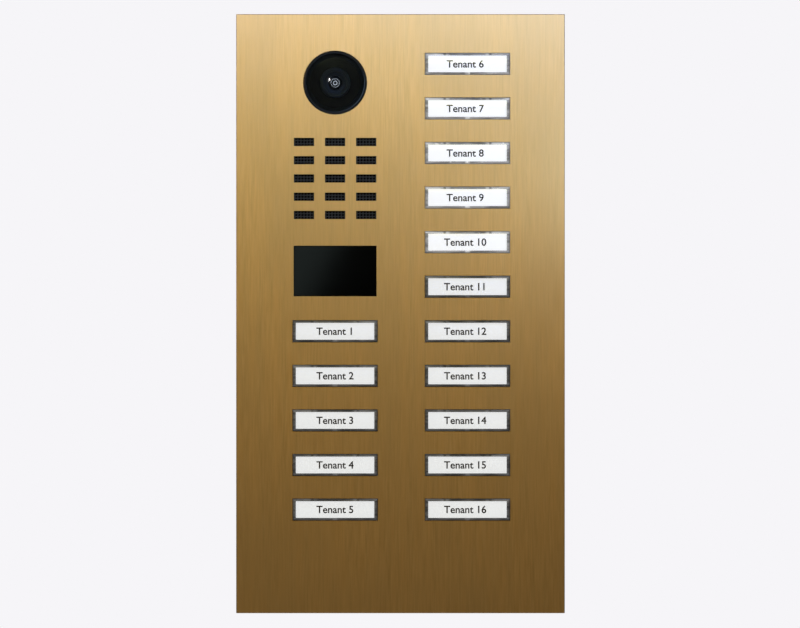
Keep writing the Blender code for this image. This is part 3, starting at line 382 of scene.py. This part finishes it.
BRASS = brushed_brass()
BLACK_GLOSS = black_gloss()
SENSOR_GLOSS = sensor_gloss()
BLACK_MATT = moulded("black_matt_plastic", grey(0.012), grey(0.020), 0.50, 900, 0.02 * MM)
LENS_BLACK = moulded(
    "lens_barrel_black", tint(0.040, 0.042, 0.041), tint(0.055, 0.057, 0.056), 0.36, 1500, 0.01 * MM
)
GREY_PLASTIC = moulded(
    "grey_moulded_plastic", tint(0.105, 0.112, 0.118), tint(0.135, 0.142, 0.148), 0.58, 700, 0.04 * MM
)
RUBBER = moulded("black_rubber", grey(0.016), grey(0.028), 0.75, 1200, 0.03 * MM)
SILICONE = moulded("translucent_silicone", grey(0.42), grey(0.50), 0.50, 600, 0.02 * MM)
TERMINAL_GREEN = moulded(
    "terminal_green", tint(0.03, 0.24, 0.09), tint(0.04, 0.30, 0.12), 0.48, 800, 0.02 * MM
)
CONE_PAPER = moulded("speaker_cone_paper", grey(0.018), grey(0.035), 0.85, 1600, 0.05 * MM)
CLEAR_ACRYLIC = clear_acrylic()
# The bevels glow with painted reflections, the second pair more brightly for the upper right covers.
BEVELS = [bevelled_acrylic("bevelled_acrylic", 0.062), bevelled_acrylic("bevelled_acrylic_edge", 0.034)]
PAINTED_BRIGHT_BEVELS = [
    bevelled_acrylic("lit_bevelled_acrylic", 0.25),
    bevelled_acrylic("lit_bevelled_acrylic_edge", 0.175),
]
SMOKED_ACRYLIC = smoked_acrylic("smoked_acrylic", 1.22)
SMOKED_INSIDE = smoked_acrylic("smoked_acrylic_inside", 1.01)
COATED_GLASS = coated_glass()
WHITE_DIFFUSER = white_diffuser()
# The cards glow with painted light, the upper right ones more brightly.
LABEL_PAPER = label_paper("label_card", 0.79)
PAINTED_BRIGHT_LABEL_PAPER = label_paper("painted_bright_label_card", 0.89)
LABEL_INK = label_ink()
CIRCUIT_BOARD = circuit_board()
STEEL = machined_steel()
# The lens rings glow with painted light.
RING_PAINTED_GLOW = lens_ring_painted_glow()
MESH_PAINT = mesh_paint()
ACOUSTIC_CLOTH = acoustic_cloth()

MATERIAL_OF_SLOT = {
    "brushed_brass": BRASS,
    "black_gloss_plastic": BLACK_GLOSS,
    "black_matt_plastic": BLACK_MATT,
    "grey_moulded_plastic": GREY_PLASTIC,
    "clear_acrylic": CLEAR_ACRYLIC,
    "smoked_acrylic": SMOKED_ACRYLIC,
    "coated_lens_glass": COATED_GLASS,
    "white_diffuser": WHITE_DIFFUSER,
    "translucent_silicone": SILICONE,
    "black_rubber": RUBBER,
    "circuit_board": CIRCUIT_BOARD,
    "terminal_green": TERMINAL_GREEN,
    "steel": STEEL,
    "speaker_cone_paper": CONE_PAPER,
}


def dress_cad_nodes():
    """Gives every CAD node the material of its slot, and smooth shading where its faces meet gently."""
    crease = math.radians(28)
    for part in frame["record"]["subparts"]:
        obj = NODES[part["node"]]
        obj.data.materials.clear()
        obj.data.materials.append(MATERIAL_OF_SLOT[part["material_slot"]])
        obj.data.shade_smooth()
        obj.data.set_sharp_from_angle(angle=crease)


# Making pieces.


def new_piece(name, bm, materials, body):
    """A piece from a bmesh, in place in the frame, that rides on a body."""
    bmesh.ops.recalc_face_normals(bm, faces=bm.faces)
    mesh = bpy.data.meshes.new(name)
    bm.to_mesh(mesh)
    bm.free()
    for material in materials:
        mesh.materials.append(material)
    mesh.shade_smooth()
    mesh.set_sharp_from_angle(angle=math.radians(30))
    obj = bpy.data.objects.new(name, mesh)
    bpy.context.scene.collection.objects.link(obj)
    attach(obj, body)
    return obj


def ring_of_verts(bm, radius, y, centre):
    """The vertices of one circle of a turned piece, or its one vertex on the axis."""
    if radius < 0.0001 * MM:
        return [bm.verts.new((centre[0], y, centre[1]))]
    ring = []
    for step in range(ROUND_STEPS):
        angle = math.tau * step / ROUND_STEPS
        x, z = centre[0] + radius * math.cos(angle), centre[1] + radius * math.sin(angle)
        ring.append(bm.verts.new((x, y, z)))
    return ring


def turned(name, profile, centre, materials, closed=False, indices=None):
    """A piece turned about the depth axis through centre = (x, z).

    The profile is (radius, y) points, and indices says which material each stretch of it takes.
    """
    bm = bmesh.new()
    rings = [ring_of_verts(bm, radius, y, centre) for radius, y in profile]
    pairs = list(zip(rings, rings[1:]))
    if closed:
        pairs.append((rings[-1], rings[0]))
    for stretch, (first, second) in enumerate(pairs):
        for step in range(ROUND_STEPS):
            corners = []
            for ring, at in ((first, step), (first, step + 1), (second, step + 1), (second, step)):
                vert = ring[at % len(ring)]
                if vert not in corners:
                    corners.append(vert)
            face = bm.faces.new(corners)
            face.material_index = indices[stretch] if indices else 0
    return new_piece(name, bm, materials, "housing")


def arc(centre, radius, start, end, steps):
    """(radius, y) points of an arc in a turned profile. Angles are in degrees, from +radius towards +y."""
    points = []
    for step in range(steps + 1):
        angle = math.radians(start + (end - start) * step / steps)
        points.append((centre[0] + radius * math.cos(angle), centre[1] + radius * math.sin(angle)))
    return points


def cap_arc(apex_y, edge_radius, rise, steps):
    """(radius, y) points of a shallow spherical cap, from its apex outwards."""
    sphere = (edge_radius**2 + rise**2) / (2 * rise)
    half_angle = math.asin(edge_radius / sphere)
    angles = [half_angle * step / steps for step in range(steps + 1)]
    return [(sphere * math.sin(a), apex_y + sphere * (1 - math.cos(a))) for a in angles]


def add_box(bm, low, high):
    size, middle = high - low, (low + high) / 2
    at = Matrix.Translation(middle) @ Matrix.Diagonal((*size, 1.0))
    bmesh.ops.create_cube(bm, size=1.0, matrix=at)


def round_corners(bm, radius, segments):
    """Rounds a sheet's four corners, which are its edges that run in depth."""
    corners = [e for e in bm.edges if abs(e.verts[0].co.y - e.verts[1].co.y) > 0.1 * MM]
    bmesh.ops.bevel(bm, geom=corners, offset=radius, segments=segments, profile=0.5, affect="EDGES")


def ease_edges(piece, name, width, least_angle):
    """Rounds the edges of a piece where its faces meet at more than the least angle, in degrees."""
    easing = piece.modifiers.new(name, "BEVEL")
    easing.width = width
    easing.segments = 2
    easing.limit_method = "ANGLE"
    easing.angle_limit = math.radians(least_angle)


# The call buttons: cover, name card and print.


def rectangle_of_verts(bm, middle, y, width, height):
    corners = ((-1, -1), (1, -1), (1, 1), (-1, 1))
    places = [(middle.x + across * width / 2, y, middle.z + up * height / 2) for across, up in corners]
    return [bm.verts.new(place) for place in places]


def nested_block(bm, sections, middle, indices):
    """A block of nested rectangles, like a stepped tray.

    Each section is (y, width, height), and indices says which material each stretch between two takes.
    """
    loops = [rectangle_of_verts(bm, middle, *section) for section in sections]
    bm.faces.new(loops[0])
    for number, (first, second) in enumerate(zip(loops, loops[1:])):
        for side in range(4):
            after = (side + 1) % 4
            face = bm.faces.new((first[side], first[after], second[after], second[side]))
            face.material_index = indices[number]
    bm.faces.new(loops[-1])


def make_button_cover(number):
    """A clear cover over a pocket for the card. Its bevelled border runs from its face to its sides."""
    node = f"button_cap_{number}"
    low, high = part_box(node)
    middle = (low + high) / 2
    width, height = high.x - low.x, high.z - low.z
    front, back = low.y, high.y
    border_x, border_z = 1.9 * MM, 1.4 * MM
    face_width, face_height = width - 2 * border_x, height - 2 * border_z
    pocket_floor = back - 1.8 * MM
    pocket_width, pocket_height = face_width + 0.2 * MM, face_height + 0.1 * MM
    sections = [
        (front, face_width, face_height),
        (front + 0.18 * MM, width - 0.9 * border_x, height - 0.9 * border_z),
        (front + 0.26 * MM, width - 0.4 * MM, height - 0.4 * MM),
        (front + 0.55 * MM, width, height),
        (back, width, height),
        (back, pocket_width, pocket_height),
        (pocket_floor, pocket_width, pocket_height),
    ]
    flat, slope, edge = 0, 1, 2
    bm = bmesh.new()
    nested_block(bm, sections, middle, (slope, edge, edge, edge, edge, flat))
    # The bevel glows with painted reflections, more brightly on the upper right covers.
    acrylic = [CLEAR_ACRYLIC, *(PAINTED_BRIGHT_BEVELS if number in PAINTED_BRIGHT_BUTTONS else BEVELS)]
    cover = new_piece(f"button_cover_{number}", bm, acrylic, f"call_button_{number}")
    ease_edges(cover, "polished edges", 0.12 * MM, 25)
    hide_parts(node)
    return middle, face_width, face_height, pocket_floor


def make_name_card(number, middle, width, height, pocket_floor):
    """A thin card with rounded corners, between the cover's pocket and the carrier, and the print on it."""
    body = f"call_button_{number}"
    front, back = pocket_floor + 0.06 * MM, pocket_floor + 0.24 * MM
    half_width, half_height = (width + 0.1 * MM) / 2, (height + 0.05 * MM) / 2
    low = Vector((middle.x - half_width, front, middle.z - half_height))
    high = Vector((middle.x + half_width, back, middle.z + half_height))
    bm = bmesh.new()
    add_box(bm, low, high)
    round_corners(bm, 0.4 * MM, 3)
    # The card glows with painted light, more brightly on the upper right buttons.
    paper = PAINTED_BRIGHT_LABEL_PAPER if number in PAINTED_BRIGHT_BUTTONS else LABEL_PAPER
    new_piece(f"name_card_{number}", bm, [paper], body)

    shift = 0.0 if number in LEFT_BUTTONS else RIGHT_PRINT_SHIFT
    place = (middle.x + shift, front - 0.02 * MM, middle.z - 0.25 * MM)
    upright = Matrix.Translation(place) @ Matrix.Rotation(math.pi / 2, 4, "X")
    bm = lettering(f"Tenant {int(number)}")
    bmesh.ops.transform(bm, matrix=upright, verts=bm.verts)
    new_piece(f"name_print_{number}", bm, [LABEL_INK], body)


def lettering(words):
    """The words as a thin layer of ink: a bmesh that lies flat, centred on the origin."""
    flatness = 0.1
    text = bpy.data.curves.new("lettering", "FONT")
    text.body = words
    text.align_x = "CENTER"
    text.align_y = "CENTER"
    text.size = 6.5 * MM
    text.bevel_depth = 0.12 * MM
    text.bevel_resolution = 0
    text.resolution_u = 4
    draft = bpy.data.objects.new("lettering", text)
    bpy.context.scene.collection.objects.link(draft)
    bpy.context.view_layer.update()
    mesh = bpy.data.meshes.new_from_object(draft.evaluated_get(bpy.context.evaluated_depsgraph_get()))
    bpy.data.objects.remove(draft)
    bm = bmesh.new()
    bm.from_mesh(mesh)
    bpy.data.meshes.remove(mesh)
    bmesh.ops.remove_doubles(bm, verts=bm.verts, dist=0.0001 * MM)
    for vert in bm.verts:
        vert.co.z *= flatness
    return bm


# The camera.


def make_trim_ring(centre):
    """A gloss ring: a chamfered lip in front of the plate, and a flange behind it."""
    low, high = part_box("camera_trim_ring")
    front, back = low.y, high.y
    bore, shoulder, outer = 18.3 * MM, 19.1 * MM, 19.9 * MM
    flange_radius = (high.x - low.x) / 2
    flange_front = PANEL_HIGH.y + PANEL_GAP
    step, rounding, chamfer = 0.05 * MM, 0.3 * MM, 0.65 * MM
    throat = arc((bore + rounding, front + step + rounding), rounding, -180, -90, 6)
    lip = [(shoulder, front), (outer - chamfer, front), (outer, front + chamfer)]
    flange = [(outer, flange_front), (flange_radius, flange_front), (flange_radius, back), (bore, back)]
    profile = throat + lip + flange
    ring = turned("camera_ring", profile, centre, [BLACK_GLOSS], closed=True)
    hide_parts("camera_trim_ring")


def make_camera_cover(centre):
    """A shallow dome of smoked acrylic, coated inside so that only its outer face shines."""
    low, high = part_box("camera_dome")
    radius, apex, skirt = (high.x - low.x) / 2, low.y, high.y
    rise, wall, flattening = 4.2 * MM, 1.4 * MM, 0.4 * MM
    outside = cap_arc(apex, radius, rise, CAP_STEPS)
    inside = cap_arc(apex + wall, radius - wall, rise - flattening, CAP_STEPS)
    profile = outside + [(radius, skirt), (radius - wall, skirt)] + inside[::-1]
    acrylic = [SMOKED_ACRYLIC, SMOKED_INSIDE]
    faces = [0] * (CAP_STEPS + 3) + [1] * CAP_STEPS
    dome = turned("camera_cover", profile, centre, acrylic, indices=faces)
    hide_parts("camera_dome")


def make_lens_barrel(centre):
    """The barrel, whose steps and rims show as rings round the front glass."""
    low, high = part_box("lens_barrel")
    radius, nose, back = (high.x - low.x) / 2, low.y, high.y
    rounding, tube_radius, tube_front = 0.4 * MM, 7.0 * MM, 6.0 * MM
    steps = [
        (0.0, 1.0 * MM),
        (4.6 * MM, 1.0 * MM),
        (4.6 * MM, -2.2 * MM),
        (5.2 * MM, -2.4 * MM),
        (5.3 * MM, -2.7 * MM),
        (6.8 * MM, -3.0 * MM),
        (6.9 * MM, -2.5 * MM),
        (7.2 * MM, -2.5 * MM),
        (7.4 * MM, nose + 0.1 * MM),
        (8.0 * MM, nose),
    ]
    rim = arc((radius - rounding, nose + rounding), rounding, -90, 0, 5)
    tube = [(radius, tube_front), (tube_radius, tube_front), (tube_radius, back), (0.0, back)]
    barrel = turned("lens_tube", steps + rim + tube, centre, [LENS_BLACK])
    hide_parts("lens_barrel")


def make_lens_glass(centre):
    """The bulging front glass."""
    low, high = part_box("lens_glass")
    radius, apex = (high.x - low.x) / 2, low.y
    bulge, back = 1.6 * MM, -2.0 * MM
    profile = cap_arc(apex, radius, bulge, 16) + [(radius, back), (0.0, back)]
    glass = turned("lens_front_glass", profile, centre, [COATED_GLASS])
    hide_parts("lens_glass")


def make_lens_rings(centre):
    """The parts deep in the lens: two rings that glow with painted light, round a dark middle."""
    profile = [
        (0.0, -0.2 * MM),
        (0.9 * MM, -0.2 * MM),
        (0.95 * MM, -0.7 * MM),
        (1.42 * MM, -0.9 * MM),
        (1.45 * MM, -0.5 * MM),
        (2.5 * MM, -0.6 * MM),
        (2.54 * MM, -0.9 * MM),
        (2.75 * MM, -1.0 * MM),
        (2.85 * MM, -0.8 * MM),
        (4.2 * MM, -1.6 * MM),
        (4.3 * MM, -1.6 * MM),
        (4.3 * MM, 0.7 * MM),
        (0.0, 0.7 * MM),
    ]
    # The stretches of the two rings, which glow with painted light.
    bright = (2, 6)
    faces = [int(stretch in bright) for stretch in range(len(profile) - 1)]
    turned("lens_rings", profile, centre, [BLACK_MATT, RING_PAINTED_GLOW], indices=faces)


def make_camera_pieces():
    low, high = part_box("camera_trim_ring")
    centre = ((low.x + high.x) / 2, (low.z + high.z) / 2)
    for make in (make_trim_ring, make_camera_cover, make_lens_barrel, make_lens_glass, make_lens_rings):
        make(centre)


# The speaker's perforated mesh.


def make_speaker_mesh():
    """A punched sheet: ten holes to a slot's pitch across, and six up."""
    low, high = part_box("speaker_mesh")
    middle = (low + high) / 2
    slot_pitch_x, slot_pitch_z = 19.6 * MM, 11.5 * MM
    pitch_x, pitch_z, hole_radius = slot_pitch_x / 10, slot_pitch_z / 6, 0.70 * MM
    columns, rows = 29, 31
    bm = bmesh.new()
    for column in range(columns):
        for row in range(rows):
            x = middle.x + (column - (columns - 1) / 2 + 0.5) * pitch_x
            z = middle.z + (row - (rows - 1) / 2) * pitch_z
            add_punched_cell(bm, x, z, pitch_x, pitch_z, hole_radius, low.y)
    bmesh.ops.remove_doubles(bm, verts=bm.verts, dist=0.001 * MM)
    sheet = new_piece("punched_mesh", bm, [MESH_PAINT], "housing")
    shell = sheet.modifiers.new("sheet", "SOLIDIFY")
    shell.thickness = high.y - low.y
    shell.offset = -1.0
    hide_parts("speaker_mesh")
    make_acoustic_cloth(low, high)


def add_punched_cell(bm, x, z, width, height, hole_radius, y):
    """One rectangle of sheet round one hole.

    The hole's sides are a multiple of 8, so that the rectangle keeps its corners.
    """
    sides = 16
    rim, edge = [], []
    for step in range(sides):
        angle = math.tau * step / sides
        across, up = math.cos(angle), math.sin(angle)
        rim.append(bm.verts.new((x + hole_radius * across, y, z + hole_radius * up)))
        reach = 1 / max(abs(across), abs(up))
        edge.append(bm.verts.new((x + reach * across * width / 2, y, z + reach * up * height / 2)))
    for step in range(sides):
        after = (step + 1) % sides
        bm.faces.new((rim[step], rim[after], edge[after], edge[step]))


def make_acoustic_cloth(mesh_low, mesh_high):
    """Black cloth behind the punched sheet, which keeps rain out of the loudspeaker."""
    edge, gap, thickness = 1.0 * MM, 0.1 * MM, 0.2 * MM
    front = mesh_high.y + gap
    low = Vector((mesh_low.x + edge, front, mesh_low.z + edge))
    high = Vector((mesh_high.x - edge, front + thickness, mesh_high.z - edge))
    bm = bmesh.new()
    add_box(bm, low, high)
    round_corners(bm, 2.0 * MM, 4)
    new_piece("acoustic_cloth", bm, [ACOUSTIC_CLOTH], "housing")


# The sensor window.


def crowned_grid(bm, middle, width, height, front, crown):
    """A grid that falls back by the crown towards its corners. Returns its border, a loop of vertices."""
    across, up = 24, 16
    grid = []
    for row in range(up + 1):
        v = 2 * row / up - 1
        line = []
        for column in range(across + 1):
            u = 2 * column / across - 1
            y = front + crown * (u * u + v * v) / 2
            line.append(bm.verts.new((middle.x + u * width / 2, y, middle.z + v * height / 2)))
        grid.append(line)
    for lower, upper in zip(grid, grid[1:]):
        for at in range(across):
            bm.faces.new((lower[at], lower[at + 1], upper[at + 1], upper[at]))
    right_side = [line[-1] for line in grid[1:]]
    left_side = [line[0] for line in grid[-2:0:-1]]
    return grid[0] + right_side + grid[-1][-2::-1] + left_side


def scaled_loop(bm, loop, middle, scale_x, scale_z, y):
    """A copy of a loop of vertices at depth y, scaled about the middle."""
    copy = []
    for vert in loop:
        x = middle.x + (vert.co.x - middle.x) * scale_x
        z = middle.z + (vert.co.z - middle.z) * scale_z
        copy.append(bm.verts.new((x, y, z)))
    return copy


def join_loops(bm, first, second):
    for at in range(len(first)):
        after = (at + 1) % len(first)
        bm.faces.new((first[at], first[after], second[after], second[at]))


def make_sensor_window():
    """A black pane whose front is crowned by a hair and whose corners are eased."""
    low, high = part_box("sensor_window")
    middle = (low + high) / 2
    width, height, crown = 51.7 * MM, 31.3 * MM, 0.15 * MM
    flange_x, flange_z = (high.x - low.x) / width, (high.z - low.z) / height
    flange_front = PANEL_HIGH.y + PANEL_GAP
    bm = bmesh.new()
    border = crowned_grid(bm, middle, width, height, low.y, crown)
    loops = [
        border,
        scaled_loop(bm, border, middle, 1, 1, flange_front),
        scaled_loop(bm, border, middle, flange_x, flange_z, flange_front),
        scaled_loop(bm, border, middle, flange_x, flange_z, high.y),
    ]
    for first, second in zip(loops, loops[1:]):
        join_loops(bm, first, second)
    bm.faces.new(loops[-1])
    pane = new_piece("sensor_pane", bm, [SENSOR_GLOSS], "housing")
    ease_edges(pane, "eased edge", 0.15 * MM, 40)
    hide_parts("sensor_window")


# The silicone mats.


def make_button_mat(side, buttons):
    """A sheet with a dome under each button."""
    node = f"button_mat_{side}"
    low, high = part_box(node)
    dome_top, sheet_front = low.y, high.y - 1.4 * MM
    bm = bmesh.new()
    add_box(bm, Vector((low.x, sheet_front, low.z)), high)
    bmesh.ops.bevel(bm, geom=list(bm.edges), offset=0.3 * MM, segments=2, affect="EDGES")
    sheet = new_piece(f"silicone_sheet_{side}", bm, [SILICONE], "housing")
    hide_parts(node)
    for number in buttons:
        make_silicone_dome(number, dome_top, sheet_front)


def make_silicone_dome(number, top, sheet_front):
    """A dome under its button, set a little into the sheet, with a mesh of its own."""
    low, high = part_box(f"button_carrier_{number}")
    centre = ((low.x + high.x) / 2, (low.z + high.z) / 2)
    foot = sheet_front - 0.05 * MM
    profile = [
        (0.0, top),
        (2.9 * MM, top),
        (3.4 * MM, top + 0.15 * MM),
        (3.6 * MM, top + 0.5 * MM),
        (4.9 * MM, foot - 0.3 * MM),
        (5.6 * MM, foot),
        (0.0, foot),
    ]
    dome = turned(f"silicone_dome_{number}", profile, centre, [SILICONE])
    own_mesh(dome)


# The stage.


def make_camera():
    """A long lens, straight in front: the panel's face fills the height with a narrow margin."""
    lens, sensor, view_width = 200.0, 36.0, 0.504
    aim_x, aim_z = -0.3 * MM, -0.2 * MM
    distance = view_width * lens / sensor
    data = bpy.data.cameras.new("camera")
    data.lens = lens
    data.sensor_width = sensor
    data.clip_end = 100.0
    camera = bpy.data.objects.new("camera", data)
    camera.location = (aim_x, PANEL_FRONT - distance, aim_z)
    camera.rotation_euler = (math.pi / 2, 0.0, 0.0)
    bpy.context.scene.collection.objects.link(camera)
    bpy.context.scene.camera = camera


def add_light(name, location, target, size, power, colour, turn=0.0):
    """A rectangular soft light that the camera doesn't see. Turn is in degrees about its own axis."""
    data = bpy.data.lights.new(name, "AREA")
    data.shape = "RECTANGLE"
    data.size, data.size_y = size
    data.energy = power
    data.color = colour
    light = bpy.data.objects.new(name, data)
    light.location = location
    direction = Vector(target) - Vector(location)
    facing = direction.to_track_quat("-Z", "Y").to_matrix() @ Matrix.Rotation(math.radians(turn), 3, "Z")
    light.rotation_euler = facing.to_euler()
    light.visible_camera = False
    bpy.context.scene.collection.objects.link(light)
    return light


def link_light(light, pieces, state="INCLUDE"):
    """Shines a light on the given pieces only, or on everything but them."""
    receivers = bpy.data.collections.new(f"{light.name} receivers")
    for piece in pieces:
        receivers.objects.link(bpy.data.objects[piece])
    for member in receivers.collection_objects:
        member.light_linking.link_state = state
    light.light_linking.receiver_collection = receivers


CAMERA_GLOSS = ("camera_cover", "camera_ring", "lens_front_glass")
GRILLE = ("punched_mesh", "acoustic_cloth")

WHITE = (1.0, 1.0, 1.0)
DAYLIGHT = (0.95, 0.98, 1.0)
SKY = (0.62, 0.92, 1.35)

TOP_EDGE = (0.0, 0.0, 0.15)
UPPER_PLATE = (0.0, 0.0, 0.10)
MIDDLE = (0.0, 0.0, 0.0)

# The soft boxes in front. Each has its place, what it points at, its size, its power and its colour.
SOFT_BOXES = {
    "window_edge": ((0.0, -0.30, 0.26), TOP_EDGE, (0.7, 0.06), 0.53, (0.32, 0.46, 1.0)),
    "window_corner": ((0.25, -0.30, 0.24), TOP_EDGE, (0.3, 0.10), 0.34, (0.22, 0.38, 1.0)),
    "window": ((0.0, -0.70, 0.27), UPPER_PLATE, (0.7, 0.10), 0.23, (0.51, 0.98, 1.0)),
    "window_side": ((0.20, -0.18, 0.11), (0.05, 0.0, 0.09), (0.08, 0.06), 0.035, (0.01, 0.31, 1.0)),
    "window_near": ((0.19, -0.14, 0.085), (0.06, 0.0, 0.08), (0.08, 0.06), 0.040, (0.38, 0.66, 1.0)),
    "lamp_right": ((0.28, -0.30, 0.09), UPPER_PLATE, (0.10, 0.15), 0.11, (1.0, 0.77, 0.61)),
    "lamp_corner": ((-0.24, -0.30, 0.24), TOP_EDGE, (0.2, 0.1), 0.031, (1.0, 0.47, 0.17)),
    "lamp": ((0.0, -1.10, 0.30), UPPER_PLATE, (0.9, 0.12), 1.09, (1.0, 0.87, 0.21)),
    "lamp_left": ((-1.6, -1.2, 0.2), MIDDLE, (0.8, 1.2), 5.44, (1.0, 0.77, 0.36)),
    "wall": ((0.0, -1.6, 0.2), MIDDLE, (2.4, 1.0), 0.99, (1.0, 0.58, 0.29)),
}

# What the small lights point at, and the pieces that they light.
ON_COVER = ("camera_dome", ["camera_cover"])
ON_RING = ("camera_dome", ["camera_ring"])
ON_PANE = ("sensor_window", ["sensor_pane"])
ON_GRILLE = ("speaker_mesh", GRILLE)

# The small lights. Each has its place off the middle of its target, its size, power, colour and turn.
ACCENTS = {
    "lens_glint": (ON_COVER, (-0.215, -1.1, 0.157), (0.024, 0.095), 1.5, WHITE, -26.0),
    "camera_fill": (ON_COVER, (0.0, -0.45, 0.0), (1.2, 1.2), 1.15, (0.80, 0.98, 1.12), 0.0),
    "ring_fill": (ON_RING, (0.0, -0.45, 0.0), (1.2, 1.2), 0.95, (0.80, 0.98, 1.20), 0.0),
    "camera_rim": (ON_RING, (-1.0, -1.2, 0.9), (2.2, 2.0), 14.0, SKY, 0.0),
    "pane_sheen": (ON_PANE, (-0.156, -1.0, 0.01), (0.24, 0.50), 0.135, (0.84, 1.05, 1.0), -21.0),
    "grille_light": (ON_GRILLE, (0.0, -1.0, 0.55), (0.5, 0.1), 6.0, (0.95, 1.0, 1.1), 0.0),
}


def make_lights():
    """Soft boxes in front, whose reflection spreads down the brushed plate, two behind, and the accents."""
    for name, setting in SOFT_BOXES.items():
        link_light(add_light(name, *setting), (*CAMERA_GLOSS, "sensor_pane", *GRILLE), "EXCLUDE")
    add_light("back_right", (1.0, 1.9, 1.2), MIDDLE, (1.5, 1.2), 30.0, DAYLIGHT)
    add_light("back_left", (-1.4, 1.5, 0.4), MIDDLE, (1.0, 1.0), 10.0, DAYLIGHT)
    for name, ((node, pieces), offset, size, power, colour, turn) in ACCENTS.items():
        low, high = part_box(node)
        target = (low + high) / 2
        light = add_light(name, target + Vector(offset), target, size, power, colour, turn)
        link_light(light, pieces)


BACKGROUND = tint(0.922, 0.913, 0.939)


def make_world():
    """A pale backdrop for the camera, and a dim room with a bright ceiling for everything else."""
    floor, wall, ceiling = tint(0.014, 0.012, 0.010), tint(0.018, 0.016, 0.014), tint(0.16, 0.17, 0.18)
    world = bpy.data.worlds.new("room")
    bpy.context.scene.world = world
    world.use_nodes = True
    tree = world.node_tree
    tree.nodes.clear()
    direction = add(tree, "ShaderNodeTexCoord").outputs["Generated"]
    height = add(tree, "ShaderNodeSeparateXYZ", Vector=direction).outputs["Z"]
    ramp = add(tree, "ShaderNodeValToRGB", Fac=height)
    stops = ramp.color_ramp.elements
    stops.new(0.25)
    for stop, position, colour in zip(stops, (0.0, 0.25, 0.8), (floor, wall, ceiling)):
        stop.position = position
        stop.color = colour
    room = add(tree, "ShaderNodeBackground", Color=ramp.outputs["Color"], Strength=1.0)
    backdrop = add(tree, "ShaderNodeBackground", Color=BACKGROUND, Strength=1.0)
    seen = add(tree, "ShaderNodeLightPath").outputs["Is Camera Ray"]
    surface = mix_shaders(tree, seen, room.outputs["Background"], backdrop.outputs["Background"])
    output = tree.nodes.new("ShaderNodeOutputWorld")
    tree.links.new(surface, output.inputs["Surface"])


def pale_floor():
    """A pale surface that fades into the backdrop away from the panel, and is clear from below."""
    look = Look("pale_floor", grey(0.85), 0.7)
    place = add(look.tree, "ShaderNodeTexCoord").outputs["Object"]
    reach = add(look.tree, "ShaderNodeVectorMath", {"operation": "LENGTH"}, Vector=place)
    fading = look.ramp(reach.outputs["Value"], 0.55, 1.0, 0.3, 1.3)
    seen = add(look.tree, "ShaderNodeLightPath").outputs["Is Camera Ray"]
    glow = add(look.tree, "ShaderNodeEmission", Color=BACKGROUND, Strength=seen)
    top = mix_shaders(look.tree, fading, look.shader.outputs["BSDF"], glow.outputs["Emission"])
    underside = add(look.tree, "ShaderNodeNewGeometry").outputs["Backfacing"]
    clear = add(look.tree, "ShaderNodeBsdfTransparent")
    surface = mix_shaders(look.tree, underside, top, clear.outputs["BSDF"])
    look.tree.links.new(surface, look.output.inputs["Surface"])
    return look.material


def make_floor():
    """A round floor, well below the panel."""
    radius, drop = 1.4, 0.30
    bm = bmesh.new()
    bmesh.ops.create_circle(bm, cap_ends=True, radius=radius, segments=128)
    mesh = bpy.data.meshes.new("floor")
    bm.to_mesh(mesh)
    bm.free()
    mesh.materials.append(pale_floor())
    floor = bpy.data.objects.new("floor", mesh)
    floor.location = (0.0, 0.0, PANEL_LOW.z - drop)
    bpy.context.scene.collection.objects.link(floor)


make_camera()
dress_cad_nodes()
for button in BUTTONS:
    make_name_card(button, *make_button_cover(button))
make_camera_pieces()
make_speaker_mesh()
make_sensor_window()
make_button_mat("left", LEFT_BUTTONS)
make_button_mat("right", BUTTONS[len(LEFT_BUTTONS):])
make_lights()
make_world()
make_floor()
bpy.context.scene.view_settings.view_transform = "Standard"
